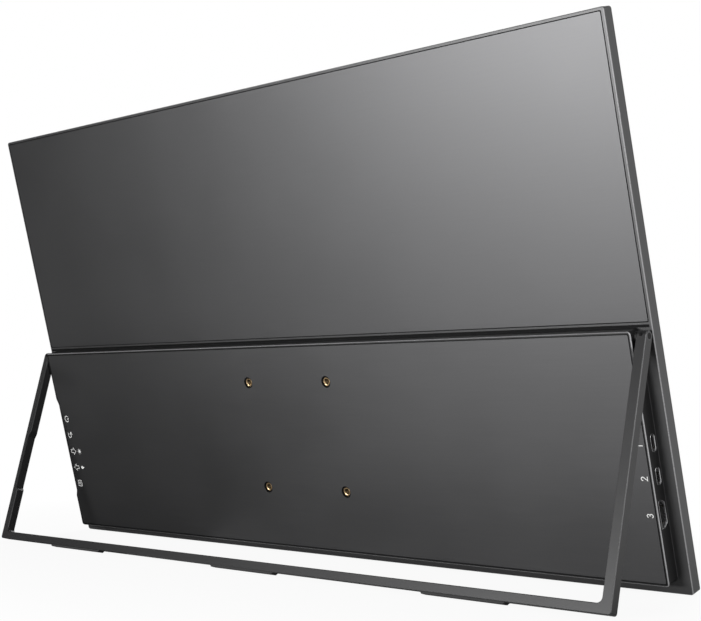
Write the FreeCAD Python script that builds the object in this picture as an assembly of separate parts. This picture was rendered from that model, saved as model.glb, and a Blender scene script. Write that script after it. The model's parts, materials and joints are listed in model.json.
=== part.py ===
"""Portable monitor with an electronics box on its back and a fold-out wire stand.

Millimetres. The pieces are drawn upright with the stand folded: X runs to the right seen from
the front, Y to the back and Z up, from the middle of the slab's bottom edge on its back face.
They are then posed in use: the stand swung open and the slab leaning back on it, with the
origin under the middle of the whole object.
"""
import FreeCAD
import Part
import math
import os

# Screen, and the layers of the slab from front to back
SCREEN_WIDTH = 542.4
SCREEN_HEIGHT = 305.1
BEZEL_DEPTH = 1.2
GLASS_DEPTH = 1.1
MIDDLE_FRAME_DEPTH = 0.6
FILM_DEPTH = 0.4
GUIDE_DEPTH = 1.6
REFLECTOR_DEPTH = 0.2
TRAY_SHEET = 0.5
CABLE_CLEARANCE = 0.15
BACK_WALL = 1.4

# Borders round the screen, and the housing walls outside them
WINDOW_MARGIN = 0.6
FRAME_REVEAL = 0.8
MODULE_BORDER = 3.0
MODULE_CHIN = 5.0
MODULE_SIDE_GAP = 2.2
MODULE_TOP_GAP = 0.4
TAIL_ROOM = 3.8
SIDE_WALL = 1.6
SNAP_CLEARANCE = 0.1
TONGUE_WALL = 0.9
TONGUE_DEPTH = 1.5
SLAB_CORNER_RADIUS = 1.8
INNER_CORNER_RADIUS = 0.8
EDGE_CHAMFER = 0.5

# Inside the display module
TRAY_WALL = 0.5
LAYER_CLEARANCE = 0.2
LED_STRIP_THICKNESS = 0.6
LED_COUNT = 40
LED_LENGTH = 4.0
LED_HEIGHT = 0.8
LED_WIDTH = 1.2
LED_GAP = 0.1
DRIVER_INSET = 35.0
DRIVER_RISE = 2.6
DRIVER_HEIGHT = 12.0
DRIVER_THICKNESS = 0.8
TAIL_WIDTH = 24.0
TAIL_SHEET = 0.2
TAIL_DROP = 1.6
TAIL_PLACE_SHARES = (-0.85, -0.51, -0.17, 0.17, 0.51, 0.85)
RIB_WIDTH = 1.2
RIB_GAP = 4.0
RIB_PLACE_SHARES = (-0.9, -0.6, -0.3, 0.0, 0.3, 0.6, 0.9)

# Inset plates on the back, each in a recess with an open groove round it
PLATE_THICKNESS = 0.6
TAPE_THICKNESS = 0.1
TAPE_INSET = 1.5
SLAB_RIM = 1.7
SLAB_GROOVE = 0.6
LOWER_RIM = 1.1
CHANNEL_WIDTH = 1.6
CHANNEL_DEPTH = 0.5
COVER_RIM = 1.2
COVER_GROOVE = 0.5

# Electronics box
BOX_BOTTOM = 7.8
BOX_TOP = 151.4
BOX_CORNER_RADIUS = 2.0
COVER_WALL = 1.4
COVER_SKIN = 2.0
COVER_HEADROOM = 0.45
SCREW_CLEARANCE = 0.05
COVER_SCREW_RADIUS = 1.2
COVER_SCREW_HEAD_RADIUS = 2.3
COVER_SCREW_HEAD = 0.9
COVER_SCREW_TIP = 0.6
COVER_SCREW_INSET = 10.0
COVER_SCREW_PLACE_SHARES = (-0.8, -0.44, 0.44, 0.8)
COVER_BOSS_RADIUS = 3.2
COVER_BOSS_SEAT = 2.4
DRIVE_RADIUS = 0.8
DRIVE_DEPTH = 0.6

# Threaded inserts of the mounting pattern
MOUNT_PITCH = 75.0
MOUNT_DROP = 63.2
MOUNT_HOLE_RADIUS = 4.0
INSERT_RADIUS = 3.0
INSERT_LENGTH = 6.0
INSERT_THREAD_RADIUS = 1.65
INSERT_CLEARANCE = 0.03
INSERT_WAIST = 0.4
INSERT_WAIST_LENGTH = 1.2
INSERT_BOSS_RADIUS = 4.8
INSERT_BOSS_FLOOR = 1.0

# Main board and what stands on it
BOARD_STANDOFF = 1.4
BOARD_THICKNESS = 1.2
BOARD_WIDTH = 118.0
BOARD_EDGE_GAP = 0.6
BOARD_SCREW_INSET = 4.0
BOARD_SCREW_RADIUS = 0.9
BOARD_SCREW_HEAD_RADIUS = 1.8
BOARD_SCREW_HEAD = 1.1
BOARD_SCREW_TIP = 0.3
BOARD_SCREW_GAP = 1.2
BOARD_BOSS_RADIUS = 2.4
SHIELD_WIDTH = 44.0
SHIELD_HEIGHT = 36.0
SHIELD_DEPTH = 2.4
SHIELD_SHEET = 0.3
SHIELD_PLACE_SHARES = (0.5, 0.6)
SCALER_SIZE = 16.0
SCALER_DEPTH = 1.4
COIL_SIZE = 7.0
COIL_DEPTH = 3.2
COIL_PLACE_SHARES = ((0.2, 0.86), (0.2, 0.14), (0.8, 0.86), (0.9, 0.2))
SOCKET_DEPTH = 1.2
SOCKET_LENGTH = 4.0
SOCKET_MARGIN = 1.5

# Ports in the left side wall of the box: the wide one, up the box, and gaps above it
WIDE_PORT_PLACE_SHARE = 0.2827
WIDE_PORT_GAP = 9.1
SMALL_PORT_GAP = 9.7
PORT_CLEARANCE = 0.15
PORT_RECESS = 0.4
SMALL_PORT_WIDTH = 9.0
SMALL_PORT_THICKNESS = 3.2
SMALL_PORT_LENGTH = 7.6
SMALL_PORT_SHEET = 0.3
SMALL_TONGUE_WIDTH = 6.6
SMALL_TONGUE_THICKNESS = 0.7
SMALL_TONGUE_LENGTH = 5.2
WIDE_PORT_WIDTH = 15.0
WIDE_PORT_NARROW_WIDTH = 10.8
WIDE_PORT_THICKNESS = 5.15
WIDE_PORT_SHOULDER = 2.6
WIDE_PORT_LENGTH = 11.0
WIDE_PORT_SHEET = 0.35
WIDE_TONGUE_WIDTH = 9.6
WIDE_TONGUE_THICKNESS = 1.2
WIDE_TONGUE_LENGTH = 7.6

# Buttons in a shallow scoop in the right side wall of the box
BUTTON_ROW_PLACE_SHARE = 0.436
BUTTON_PITCH = 13.45
BUTTON_WIDTH = 8.0
BUTTON_DEPTH = 3.0
BUTTON_PROUD = 0.9
BUTTON_CLEARANCE = 0.15
BUTTON_LIP = 0.7
BUTTON_LIP_DEPTH = 0.7
BUTTON_LIP_GAP = 0.1
BUTTON_STEM_RADIUS = 0.75
BUTTON_STEM_REACH = 0.9
BUTTON_TRAVEL = 0.4
BUTTON_STOP_GAP = 0.2
SCOOP_DEPTH = 1.8
SCOOP_BEVEL = 4.5
SCOOP_BELOW = 10.5
SCOOP_ABOVE = 16.5
SWITCH_WIDTH = 6.0
SWITCH_HEIGHT = 3.6
SWITCH_LENGTH = 4.4
STEM_CLEARANCE = 0.08
BUTTON_BOARD_WIDTH = 12.6
BUTTON_BOARD_MARGIN = 9.0

# Flat ribbons
RIBBON_SHEET = 0.25
DISPLAY_RIBBON_WIDTH = 25.0
DISPLAY_RIBBON_LAP = 6.0
DISPLAY_RIBBON_INSET = 10.0
RIBBON_LIFT = 0.45
RIBBON_WINDOW_MARGIN = 1.5
BUTTON_RIBBON_WIDTH = 6.0
BUTTON_RIBBON_RUNOUT = 5.0

# Hinges: a rolled bracket grips each shaft
SHAFT_RADIUS = 1.5
SHAFT_FIT = 0.05
SHAFT_HEAD_RADIUS = 2.0
SHAFT_HEAD = 0.8
SHAFT_END_GAP = 0.2
BRACKET_SHEET = 0.6
BRACKET_LENGTH = 24.0
BRACKET_OFFSET = 8.0
BRACKET_SCREW_SPACING = 14.0
BRACKET_SCREW_INSET = 5.0
LEAF_LENGTH = 20.0
BARREL_CLEARANCE = 0.3
HINGE_SCREW_RADIUS = 1.1
HINGE_SCREW_HEAD_RADIUS = 2.1
HINGE_SCREW_HEAD = 1.2
HINGE_SCREW_TIP = 0.4
HINGE_BOSS_RADIUS = 2.8
HINGE_GAP = 1.7
BUSH_WALL = 0.75
BUSH_FLANGE_RADIUS = 3.0
BUSH_TAIL = 0.6
BUSH_END_GAP = 0.15
BUSH_FIT = 0.03

# Stand
ARM_WIDTH = 6.3
ARM_DEPTH = 6.4
ARM_CLEARANCE = 1.2
BAR_HEIGHT = 5.5
STAND_OVERHANG = 0.6
STAND_INNER_RADIUS = 3.3
STAND_OUTER_RADIUS = 1.5
STAND_EDGE_CHAMFER = 0.4
RELIEF_START = 62.3
RELIEF_END = 109.4
RELIEF_DEPTH = 1.8
RELIEF_UPPER_BEVEL = 5.0
RELIEF_LOWER_BEVEL = 2.1
CAP_RADIUS = 2.3
CAP_DEPTH = 0.8
CAP_CLEARANCE = 0.08
SET_SCREW_RADIUS = 1.0
SET_SCREW_SINK = 0.25
SET_SCREW_SOCKET_RADIUS = 0.5
SET_SCREW_SOCKET_DEPTH = 0.6
PAD_LENGTH = 60.5
PAD_EDGE = 0.7
PAD_PROUD = 1.3
PAD_POCKET = 0.5
PAD_CLEARANCE = 0.1
PAD_PLACE_SHARES = (-0.652, 0.0, 0.652)
OPEN_ANGLE = 29.75

# How far a cutting tool runs past the faces that it opens
OVERRUN = 1.0

# Two depths closer than this are the same depth
SAME_DEPTH = 0.0001

# Slab, worked out from the screen outwards
WALL_STACK = SIDE_WALL + SNAP_CLEARANCE + TONGUE_WALL
MODULE_HALF = SCREEN_WIDTH / 2 + MODULE_BORDER
MODULE_BOTTOM = WALL_STACK + TAIL_ROOM
SCREEN_BOTTOM = MODULE_BOTTOM + MODULE_CHIN
SCREEN_TOP = SCREEN_BOTTOM + SCREEN_HEIGHT
MODULE_TOP = SCREEN_TOP + MODULE_BORDER
SLAB_HALF = MODULE_HALF + MODULE_SIDE_GAP + WALL_STACK
SLAB_HEIGHT = MODULE_TOP + MODULE_TOP_GAP + WALL_STACK

# Levels through the slab, each the front of its layer
INNER_Y = -BACK_WALL
CABLE_GAP = DRIVER_THICKNESS + RIBBON_SHEET + CABLE_CLEARANCE
CABLE_Y = INNER_Y - CABLE_GAP
TRAY_Y = CABLE_Y - TRAY_SHEET
REFLECTOR_Y = TRAY_Y - REFLECTOR_DEPTH
GUIDE_Y = REFLECTOR_Y - GUIDE_DEPTH
FILM_Y = GUIDE_Y - FILM_DEPTH
FRAME_Y = FILM_Y - MIDDLE_FRAME_DEPTH
GLASS_Y = FRAME_Y - GLASS_DEPTH
FRONT_Y = GLASS_Y - BEZEL_DEPTH

LAYER_HALF = MODULE_HALF - TRAY_WALL - LAYER_CLEARANCE
LAYER_TOP = MODULE_TOP - TRAY_WALL - LAYER_CLEARANCE
STRIP_BOTTOM = MODULE_BOTTOM + TRAY_WALL
STRIP_TOP = STRIP_BOTTOM + LED_STRIP_THICKNESS
LAYER_BOTTOM = STRIP_TOP + LED_HEIGHT + LED_GAP
DRIVER_BOTTOM = MODULE_BOTTOM + DRIVER_RISE
DRIVER_TOP = DRIVER_BOTTOM + DRIVER_HEIGHT
DRIVER_HALF = MODULE_HALF - DRIVER_INSET
DRIVER_BACK = CABLE_Y + DRIVER_THICKNESS

# Electronics box
BOX_HALF = SLAB_HALF - ARM_WIDTH - HINGE_GAP
BOARD_TOP_Y = BOARD_STANDOFF + BOARD_THICKNESS
SKIN_Y = BOARD_TOP_Y + WIDE_PORT_THICKNESS + COVER_HEADROOM
BOX_DEPTH = SKIN_Y + COVER_SKIN
RECESS_DEPTH = PLATE_THICKNESS + TAPE_THICKNESS
SEAT_Y = BOX_DEPTH - RECESS_DEPTH
UPPER_RECESS_BOTTOM = BOX_TOP + CHANNEL_WIDTH + LOWER_RIM
BOX_HEIGHT = BOX_TOP - BOX_BOTTOM
BUTTON_ROW_HEIGHT = BOX_BOTTOM + BOX_HEIGHT * BUTTON_ROW_PLACE_SHARE
BUTTON_HEIGHTS = [BUTTON_ROW_HEIGHT + BUTTON_PITCH * step for step in (2, 1, 0, -1, -2)]
SCOOP_FLOOR_X = BOX_HALF - SCOOP_DEPTH
SCOOP_INNER_X = SCOOP_FLOOR_X - COVER_WALL
SCOOP_LOW = BUTTON_HEIGHTS[-1] - SCOOP_BELOW
SCOOP_HIGH = BUTTON_HEIGHTS[0] + SCOOP_ABOVE
MOUNT_HEIGHT = BOX_TOP - MOUNT_DROP

# Boards, ribbons and buttons
BOARD_LEFT = COVER_WALL + BOARD_EDGE_GAP - BOX_HALF
BOARD_RIGHT = BOARD_LEFT + BOARD_WIDTH
WIDE_PORT_HEIGHT = BOX_BOTTOM + BOX_HEIGHT * WIDE_PORT_PLACE_SHARE
LOWER_PORT_HEIGHT = (WIDE_PORT_HEIGHT + WIDE_PORT_WIDTH / 2 + WIDE_PORT_GAP
                     + SMALL_PORT_WIDTH / 2)
UPPER_PORT_HEIGHT = LOWER_PORT_HEIGHT + SMALL_PORT_WIDTH + SMALL_PORT_GAP
BOARD_SCREW_ROOM = BOARD_SCREW_GAP + BOARD_SCREW_HEAD_RADIUS + BOARD_SCREW_INSET
BOARD_BOTTOM = WIDE_PORT_HEIGHT - WIDE_PORT_WIDTH / 2 - BOARD_SCREW_ROOM
BOARD_TOP = UPPER_PORT_HEIGHT + SMALL_PORT_WIDTH / 2 + BOARD_SCREW_ROOM
LIP_OUTER_X = SCOOP_INNER_X - BUTTON_LIP_GAP
LIP_INNER_X = LIP_OUTER_X - BUTTON_LIP_DEPTH
SWITCH_FACE_X = LIP_INNER_X - BUTTON_TRAVEL - BUTTON_STOP_GAP
BUTTON_BOARD_RIGHT = SWITCH_FACE_X
BUTTON_BOARD_LEFT = BUTTON_BOARD_RIGHT - BUTTON_BOARD_WIDTH
BUTTON_BOARD_LOW = BUTTON_HEIGHTS[-1] - BUTTON_BOARD_MARGIN
BUTTON_BOARD_HIGH = BUTTON_HEIGHTS[0] + BUTTON_BOARD_MARGIN
BUTTON_Y = BOARD_TOP_Y + SWITCH_HEIGHT / 2
RIBBON_Y = BOARD_TOP_Y + RIBBON_LIFT
DISPLAY_RIBBON_RIGHT = BOARD_RIGHT - BOARD_SCREW_ROOM - DISPLAY_RIBBON_INSET
DISPLAY_RIBBON_X = DISPLAY_RIBBON_RIGHT - DISPLAY_RIBBON_WIDTH / 2

# Hinge and stand
BARREL_RADIUS = SHAFT_RADIUS + SHAFT_FIT + BRACKET_SHEET
PIVOT_Y = ARM_DEPTH / 2 + ARM_CLEARANCE
PIVOT_Z = BOX_TOP - COVER_WALL - BARREL_CLEARANCE - BARREL_RADIUS
BRACKET_OUTER_X = BOX_HALF - BRACKET_OFFSET
BRACKET_INNER_X = BRACKET_OUTER_X - BRACKET_LENGTH
BRACKET_SCREW_Z = PIVOT_Z - LEAF_LENGTH + BRACKET_SCREW_INSET
LEAF_Y = PIVOT_Y - BARREL_RADIUS
BUSH_RADIUS = SHAFT_RADIUS + SHAFT_FIT + BUSH_WALL
ARM_INNER_X = SLAB_HALF - ARM_WIDTH
ARM_MIDDLE_X = SLAB_HALF - ARM_WIDTH / 2
STAND_BOTTOM = -STAND_OVERHANG
PAD_BOTTOM = STAND_BOTTOM - PAD_PROUD
PAD_DEPTH = ARM_DEPTH - 2 * PAD_EDGE

X_AXIS = FreeCAD.Vector(1, 0, 0)
Y_AXIS = FreeCAD.Vector(0, 1, 0)
PIVOT = FreeCAD.Vector(0, PIVOT_Y, PIVOT_Z)
SIDES = {"left": -1, "right": 1}
BUTTON_NAMES = ("power_button", "back_button", "up_button", "down_button", "menu_button")


def block(left, right, front, back, bottom, top):
    """Box between two values on each axis."""
    corner = FreeCAD.Vector(left, front, bottom)
    return Part.makeBox(right - left, back - front, top - bottom, corner)


def rod_along_y(x, z, radius, front, back):
    """Round rod through the depth of the object."""
    return Part.makeCylinder(radius, back - front, FreeCAD.Vector(x, front, z), Y_AXIS)


def rod_along_x(y, z, radius, left, right):
    """Round rod across the width of the object."""
    return Part.makeCylinder(radius, right - left, FreeCAD.Vector(left, y, z), X_AXIS)


def rounded_face(corners, radius):
    """Flat face through the corners, each rounded by an arc of the radius."""
    edges = []
    previous_end = None
    first_start = None
    count = len(corners)
    for index, corner in enumerate(corners):
        back = (corners[index - 1] - corner).normalize()
        ahead = (corners[(index + 1) % count] - corner).normalize()
        half_angle = back.getAngle(ahead) / 2
        start = corner + back * (radius / math.tan(half_angle))
        end = corner + ahead * (radius / math.tan(half_angle))
        inward = (back + ahead).normalize()
        middle = corner + inward * (radius / math.sin(half_angle) - radius)
        if previous_end is None:
            first_start = start
        else:
            edges.append(Part.LineSegment(previous_end, start).toShape())
        edges.append(Part.Arc(start, middle, end).toShape())
        previous_end = end
    edges.append(Part.LineSegment(previous_end, first_start).toShape())
    return Part.Face(Part.Wire(edges))


def flat_face(corners):
    """Flat face through the corners, left sharp."""
    return Part.Face(Part.makePolygon(corners + corners[:1]))


def rectangle(left, right, bottom, top):
    """Corners of an upright rectangle across the width."""
    places = ((left, bottom), (right, bottom), (right, top), (left, top))
    return [FreeCAD.Vector(x, 0, z) for x, z in places]


def sheet(corners, radius, front, back):
    """Upright plate through the corners, from one depth to another."""
    face = rounded_face(corners, radius)
    face.translate(Y_AXIS * front)
    return face.extrude(Y_AXIS * (back - front))


def bar_along_x(face, left, right):
    """Bar with a section drawn in depth and height, across the width."""
    section = face.copy()
    section.translate(X_AXIS * left)
    return section.extrude(X_AXIS * (right - left))


def edges_at_depth(shape, depth):
    """Edges that lie wholly at one depth."""
    return [edge for edge in shape.Edges
            if max(abs(edge.BoundBox.YMin - depth), abs(edge.BoundBox.YMax - depth)) < SAME_DEPTH]


def slab_outline(inset):
    """Rectangle of the slab, drawn in by a distance."""
    return rectangle(inset - SLAB_HALF, SLAB_HALF - inset, inset, SLAB_HEIGHT - inset)


def module_outline():
    """Rectangle of the display module."""
    return rectangle(-MODULE_HALF, MODULE_HALF, MODULE_BOTTOM, MODULE_TOP)


def layer_sheet(front, back):
    """Sheet that lies in the display module's tray, above the light strip."""
    return block(-LAYER_HALF, LAYER_HALF, front, back, LAYER_BOTTOM, LAYER_TOP)


def box_outline(inset):
    """Outline of the electronics box with its button scoop, drawn in by a distance."""
    side = BOX_HALF - inset
    floor = SCOOP_FLOOR_X - inset
    low = BOX_BOTTOM + inset
    high = BOX_TOP - inset
    places = ((-side, low), (side, low), (side, SCOOP_LOW), (floor, SCOOP_LOW + SCOOP_BEVEL),
              (floor, SCOOP_HIGH - SCOOP_BEVEL), (side, SCOOP_HIGH), (side, high), (-side, high))
    return [FreeCAD.Vector(x, 0, z) for x, z in places]


def mount_places():
    """Middles of the four mounting holes, in width and height."""
    reach = MOUNT_PITCH / 2
    return [(x, MOUNT_HEIGHT + z) for x in (-reach, reach) for z in (-reach, reach)]


def cover_screw_places():
    """Middles of the screws that hold the box cover."""
    heights = (BOX_BOTTOM + COVER_SCREW_INSET, BOX_TOP - COVER_SCREW_INSET)
    return [(share * BOX_HALF, z) for share in COVER_SCREW_PLACE_SHARES for z in heights]


def board_screw_places():
    """Middles of the screws of the main board and the button board."""
    inset = BOARD_SCREW_INSET
    places = [(x, z) for x in (BOARD_LEFT + inset, BOARD_RIGHT - inset)
              for z in (BOARD_BOTTOM + inset, BOARD_TOP - inset)]
    places += [(BUTTON_BOARD_LEFT + inset, z)
               for z in (BUTTON_BOARD_LOW + inset, BUTTON_BOARD_HIGH - inset)]
    return places


def hinge_screw_places():
    """Middles of the screws in the leaves of both hinge brackets."""
    middle = BRACKET_OUTER_X - BRACKET_LENGTH / 2
    reach = BRACKET_SCREW_SPACING / 2
    return [(side * (middle + step), BRACKET_SCREW_Z)
            for side in SIDES.values() for step in (-reach, reach)]


def ring_of_bosses(places, radius, front, back):
    """Round bosses at the places, to be joined to the piece that carries them."""
    return [rod_along_y(x, z, radius, front, back) for x, z in places]


def screw(x, z, shank, head_radius, tip_y, seat_y, head_y):
    """Screw with a flat head and a driver recess, pointing to the front."""
    body = rod_along_y(x, z, shank, tip_y, seat_y)
    body = body.fuse(rod_along_y(x, z, head_radius, seat_y, head_y)).removeSplitter()
    return body.cut(rod_along_y(x, z, DRIVE_RADIUS, head_y - DRIVE_DEPTH, head_y + OVERRUN))


def front_bezel():
    """Front frame with a snap tongue that goes inside the rear housing's walls."""
    frame = sheet(slab_outline(0), SLAB_CORNER_RADIUS, FRONT_Y, GLASS_Y)
    frame = frame.makeChamfer(EDGE_CHAMFER, edges_at_depth(frame, FRONT_Y))
    tongue_inset = SIDE_WALL + SNAP_CLEARANCE
    tongue_back = GLASS_Y + TONGUE_DEPTH
    tongue = sheet(slab_outline(tongue_inset), INNER_CORNER_RADIUS, GLASS_Y, tongue_back)
    tongue = tongue.cut(sheet(slab_outline(WALL_STACK), INNER_CORNER_RADIUS,
                              GLASS_Y - OVERRUN, tongue_back + OVERRUN))
    half = SCREEN_WIDTH / 2 + WINDOW_MARGIN
    window = rectangle(-half, half, SCREEN_BOTTOM - WINDOW_MARGIN, SCREEN_TOP + WINDOW_MARGIN)
    opening = sheet(window, INNER_CORNER_RADIUS, FRONT_Y - OVERRUN, GLASS_Y + OVERRUN)
    return frame.cut(opening).fuse(tongue).removeSplitter()


def lcd_cell():
    """Glass cell of the screen, under the bezel's lip."""
    return sheet(module_outline(), INNER_CORNER_RADIUS, GLASS_Y, FRAME_Y)


def panel_middle_frame():
    """Thin frame between the glass and the tray."""
    frame = sheet(module_outline(), INNER_CORNER_RADIUS, FRAME_Y, FILM_Y)
    half = SCREEN_WIDTH / 2 + FRAME_REVEAL
    window = block(-half, half, FRAME_Y - OVERRUN, FILM_Y + OVERRUN,
                   SCREEN_BOTTOM - FRAME_REVEAL, SCREEN_TOP + FRAME_REVEAL)
    return frame.cut(window)


def panel_tray():
    """Sheet-metal tray that holds the light guide, its sheets and the light strip."""
    tray = sheet(module_outline(), INNER_CORNER_RADIUS, FILM_Y, CABLE_Y)
    half = MODULE_HALF - TRAY_WALL
    return tray.cut(block(-half, half, FILM_Y - OVERRUN, TRAY_Y,
                          MODULE_BOTTOM + TRAY_WALL, MODULE_TOP - TRAY_WALL))


def led_strip():
    """Narrow board along the bottom wall of the tray."""
    return block(-LAYER_HALF, LAYER_HALF, GUIDE_Y, REFLECTOR_Y, STRIP_BOTTOM, STRIP_TOP)


def led_packages():
    """Row of lamps on the light strip, facing up into the light guide's edge."""
    middle = (GUIDE_Y + REFLECTOR_Y) / 2
    pitch = 2 * LAYER_HALF / LED_COUNT
    first = pitch / 2 - LAYER_HALF
    lamps = []
    for number in range(LED_COUNT):
        x = first + pitch * number
        lamps.append(block(x - LED_LENGTH / 2, x + LED_LENGTH / 2, middle - LED_WIDTH / 2,
                           middle + LED_WIDTH / 2, STRIP_TOP, STRIP_TOP + LED_HEIGHT))
    return Part.makeCompound(lamps)


def panel_driver_board():
    """Long narrow board behind the tray that drives the glass."""
    return block(-DRIVER_HALF, DRIVER_HALF, CABLE_Y, DRIVER_BACK, DRIVER_BOTTOM, DRIVER_TOP)


def panel_flex_tails():
    """Bent film tails from the bottom edge of the glass round to the driver board."""
    front = GLASS_Y + (GLASS_DEPTH - TAIL_SHEET) / 2
    back = CABLE_Y + (DRIVER_THICKNESS - TAIL_SHEET) / 2
    low = MODULE_BOTTOM - TAIL_DROP
    tails = []
    for share in TAIL_PLACE_SHARES:
        left = share * DRIVER_HALF - TAIL_WIDTH / 2
        right = left + TAIL_WIDTH
        tail = block(left, right, front, front + TAIL_SHEET, low, MODULE_BOTTOM)
        tail = tail.fuse(block(left, right, front, back + TAIL_SHEET, low, low + TAIL_SHEET))
        tail = tail.fuse(block(left, right, back, back + TAIL_SHEET, low, DRIVER_BOTTOM))
        tails.append(tail.removeSplitter())
    return Part.makeCompound(tails)


def display_window():
    """Slot in the housing's back wall that the display ribbon passes through."""
    half = DISPLAY_RIBBON_WIDTH / 2 + RIBBON_WINDOW_MARGIN
    middle = DRIVER_TOP - RIBBON_SHEET / 2
    reach = RIBBON_SHEET / 2 + RIBBON_WINDOW_MARGIN
    return block(DISPLAY_RIBBON_X - half, DISPLAY_RIBBON_X + half,
                 INNER_Y - OVERRUN, OVERRUN, middle - reach, middle + reach)


def rear_housing():
    """Rear shell of the slab with its plate recess, inner ribs and bosses."""
    shell = sheet(slab_outline(0), SLAB_CORNER_RADIUS, GLASS_Y, 0)
    shell = shell.makeChamfer(EDGE_CHAMFER, edges_at_depth(shell, 0))
    shell = shell.cut(sheet(slab_outline(SIDE_WALL), INNER_CORNER_RADIUS,
                            GLASS_Y - OVERRUN, INNER_Y))
    edge = SLAB_HALF - SLAB_RIM
    recess = rectangle(-edge, edge, UPPER_RECESS_BOTTOM, SLAB_HEIGHT - SLAB_RIM)
    shell = shell.cut(sheet(recess, INNER_CORNER_RADIUS, -RECESS_DEPTH, OVERRUN))
    shell = shell.cut(block(-edge, edge, -CHANNEL_DEPTH, OVERRUN, BOX_TOP, BOX_TOP + CHANNEL_WIDTH))
    shell = shell.cut(display_window())
    added = ring_of_bosses(cover_screw_places(), COVER_BOSS_RADIUS, 0, COVER_BOSS_SEAT)
    added += ring_of_bosses(board_screw_places(), BOARD_BOSS_RADIUS, 0, BOARD_STANDOFF)
    added += ring_of_bosses(hinge_screw_places(), HINGE_BOSS_RADIUS, 0, LEAF_Y)
    for share in RIB_PLACE_SHARES:
        x = share * MODULE_HALF
        added.append(block(x - RIB_WIDTH / 2, x + RIB_WIDTH / 2, CABLE_Y, INNER_Y,
                           DRIVER_TOP + RIB_GAP, MODULE_TOP))
    shell = shell.fuse(added)
    holes = [(cover_screw_places(), COVER_SCREW_RADIUS, COVER_SCREW_TIP, COVER_BOSS_SEAT),
             (board_screw_places(), BOARD_SCREW_RADIUS, BOARD_SCREW_TIP, BOARD_STANDOFF),
             (hinge_screw_places(), HINGE_SCREW_RADIUS, HINGE_SCREW_TIP, LEAF_Y)]
    for places, radius, tip, seat in holes:
        shell = shell.cut(ring_of_bosses(places, radius + SCREW_CLEARANCE,
                                         tip - SCREW_CLEARANCE, seat + OVERRUN))
    return shell.removeSplitter()


def upper_plate_outline(inset):
    """Rectangle of the upper back plate, drawn in by a distance."""
    half = SLAB_HALF - SLAB_RIM - SLAB_GROOVE - inset
    low = UPPER_RECESS_BOTTOM + SLAB_GROOVE + inset
    high = SLAB_HEIGHT - SLAB_RIM - SLAB_GROOVE - inset
    return rectangle(-half, half, low, high)


def upper_back_plate():
    """Thin plate set flush in the slab's back."""
    return sheet(upper_plate_outline(0), INNER_CORNER_RADIUS, -PLATE_THICKNESS, 0)


def upper_plate_tape():
    """Adhesive sheet under the upper plate."""
    return sheet(upper_plate_outline(TAPE_INSET), INNER_CORNER_RADIUS,
                 -RECESS_DEPTH, -PLATE_THICKNESS)


def port_sections():
    """Outer sections of the three ports in depth and height, each with its clearance cut."""
    sections = []
    for height in (UPPER_PORT_HEIGHT, LOWER_PORT_HEIGHT):
        sections.append(small_port_section(height, -PORT_CLEARANCE))
    sections.append(wide_port_section(-PORT_CLEARANCE))
    return sections


def stadium_section(depth, height, thickness, length):
    """Round-ended slot shape standing upright, in depth and height."""
    radius = thickness / 2
    straight = length / 2 - radius
    low_left = FreeCAD.Vector(0, depth - radius, height - straight)
    low_right = FreeCAD.Vector(0, depth + radius, height - straight)
    high_right = FreeCAD.Vector(0, depth + radius, height + straight)
    high_left = FreeCAD.Vector(0, depth - radius, height + straight)
    foot = FreeCAD.Vector(0, depth, height - length / 2)
    crown = FreeCAD.Vector(0, depth, height + length / 2)
    edges = [Part.Arc(low_left, foot, low_right).toShape(),
             Part.LineSegment(low_right, high_right).toShape(),
             Part.Arc(high_right, crown, high_left).toShape(),
             Part.LineSegment(high_left, low_left).toShape()]
    return Part.Face(Part.Wire(edges))


def small_port_section(height, inset):
    """Section of a small reversible port, drawn in by a distance."""
    depth = BOARD_TOP_Y + SMALL_PORT_THICKNESS / 2
    return stadium_section(depth, height, SMALL_PORT_THICKNESS - 2 * inset,
                           SMALL_PORT_WIDTH - 2 * inset)


def wide_port_section(inset):
    """Section of the wide port, narrower towards the board, drawn in by a distance."""
    front = BOARD_TOP_Y + inset
    back = BOARD_TOP_Y + WIDE_PORT_THICKNESS - inset
    shoulder = BOARD_TOP_Y + WIDE_PORT_THICKNESS - WIDE_PORT_SHOULDER
    wide = WIDE_PORT_WIDTH / 2 - inset
    narrow = WIDE_PORT_NARROW_WIDTH / 2 - inset
    places = ((front, -narrow), (shoulder, -wide), (back, -wide),
              (back, wide), (shoulder, wide), (front, narrow))
    return flat_face([FreeCAD.Vector(0, y, WIDE_PORT_HEIGHT + z) for y, z in places])


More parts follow.
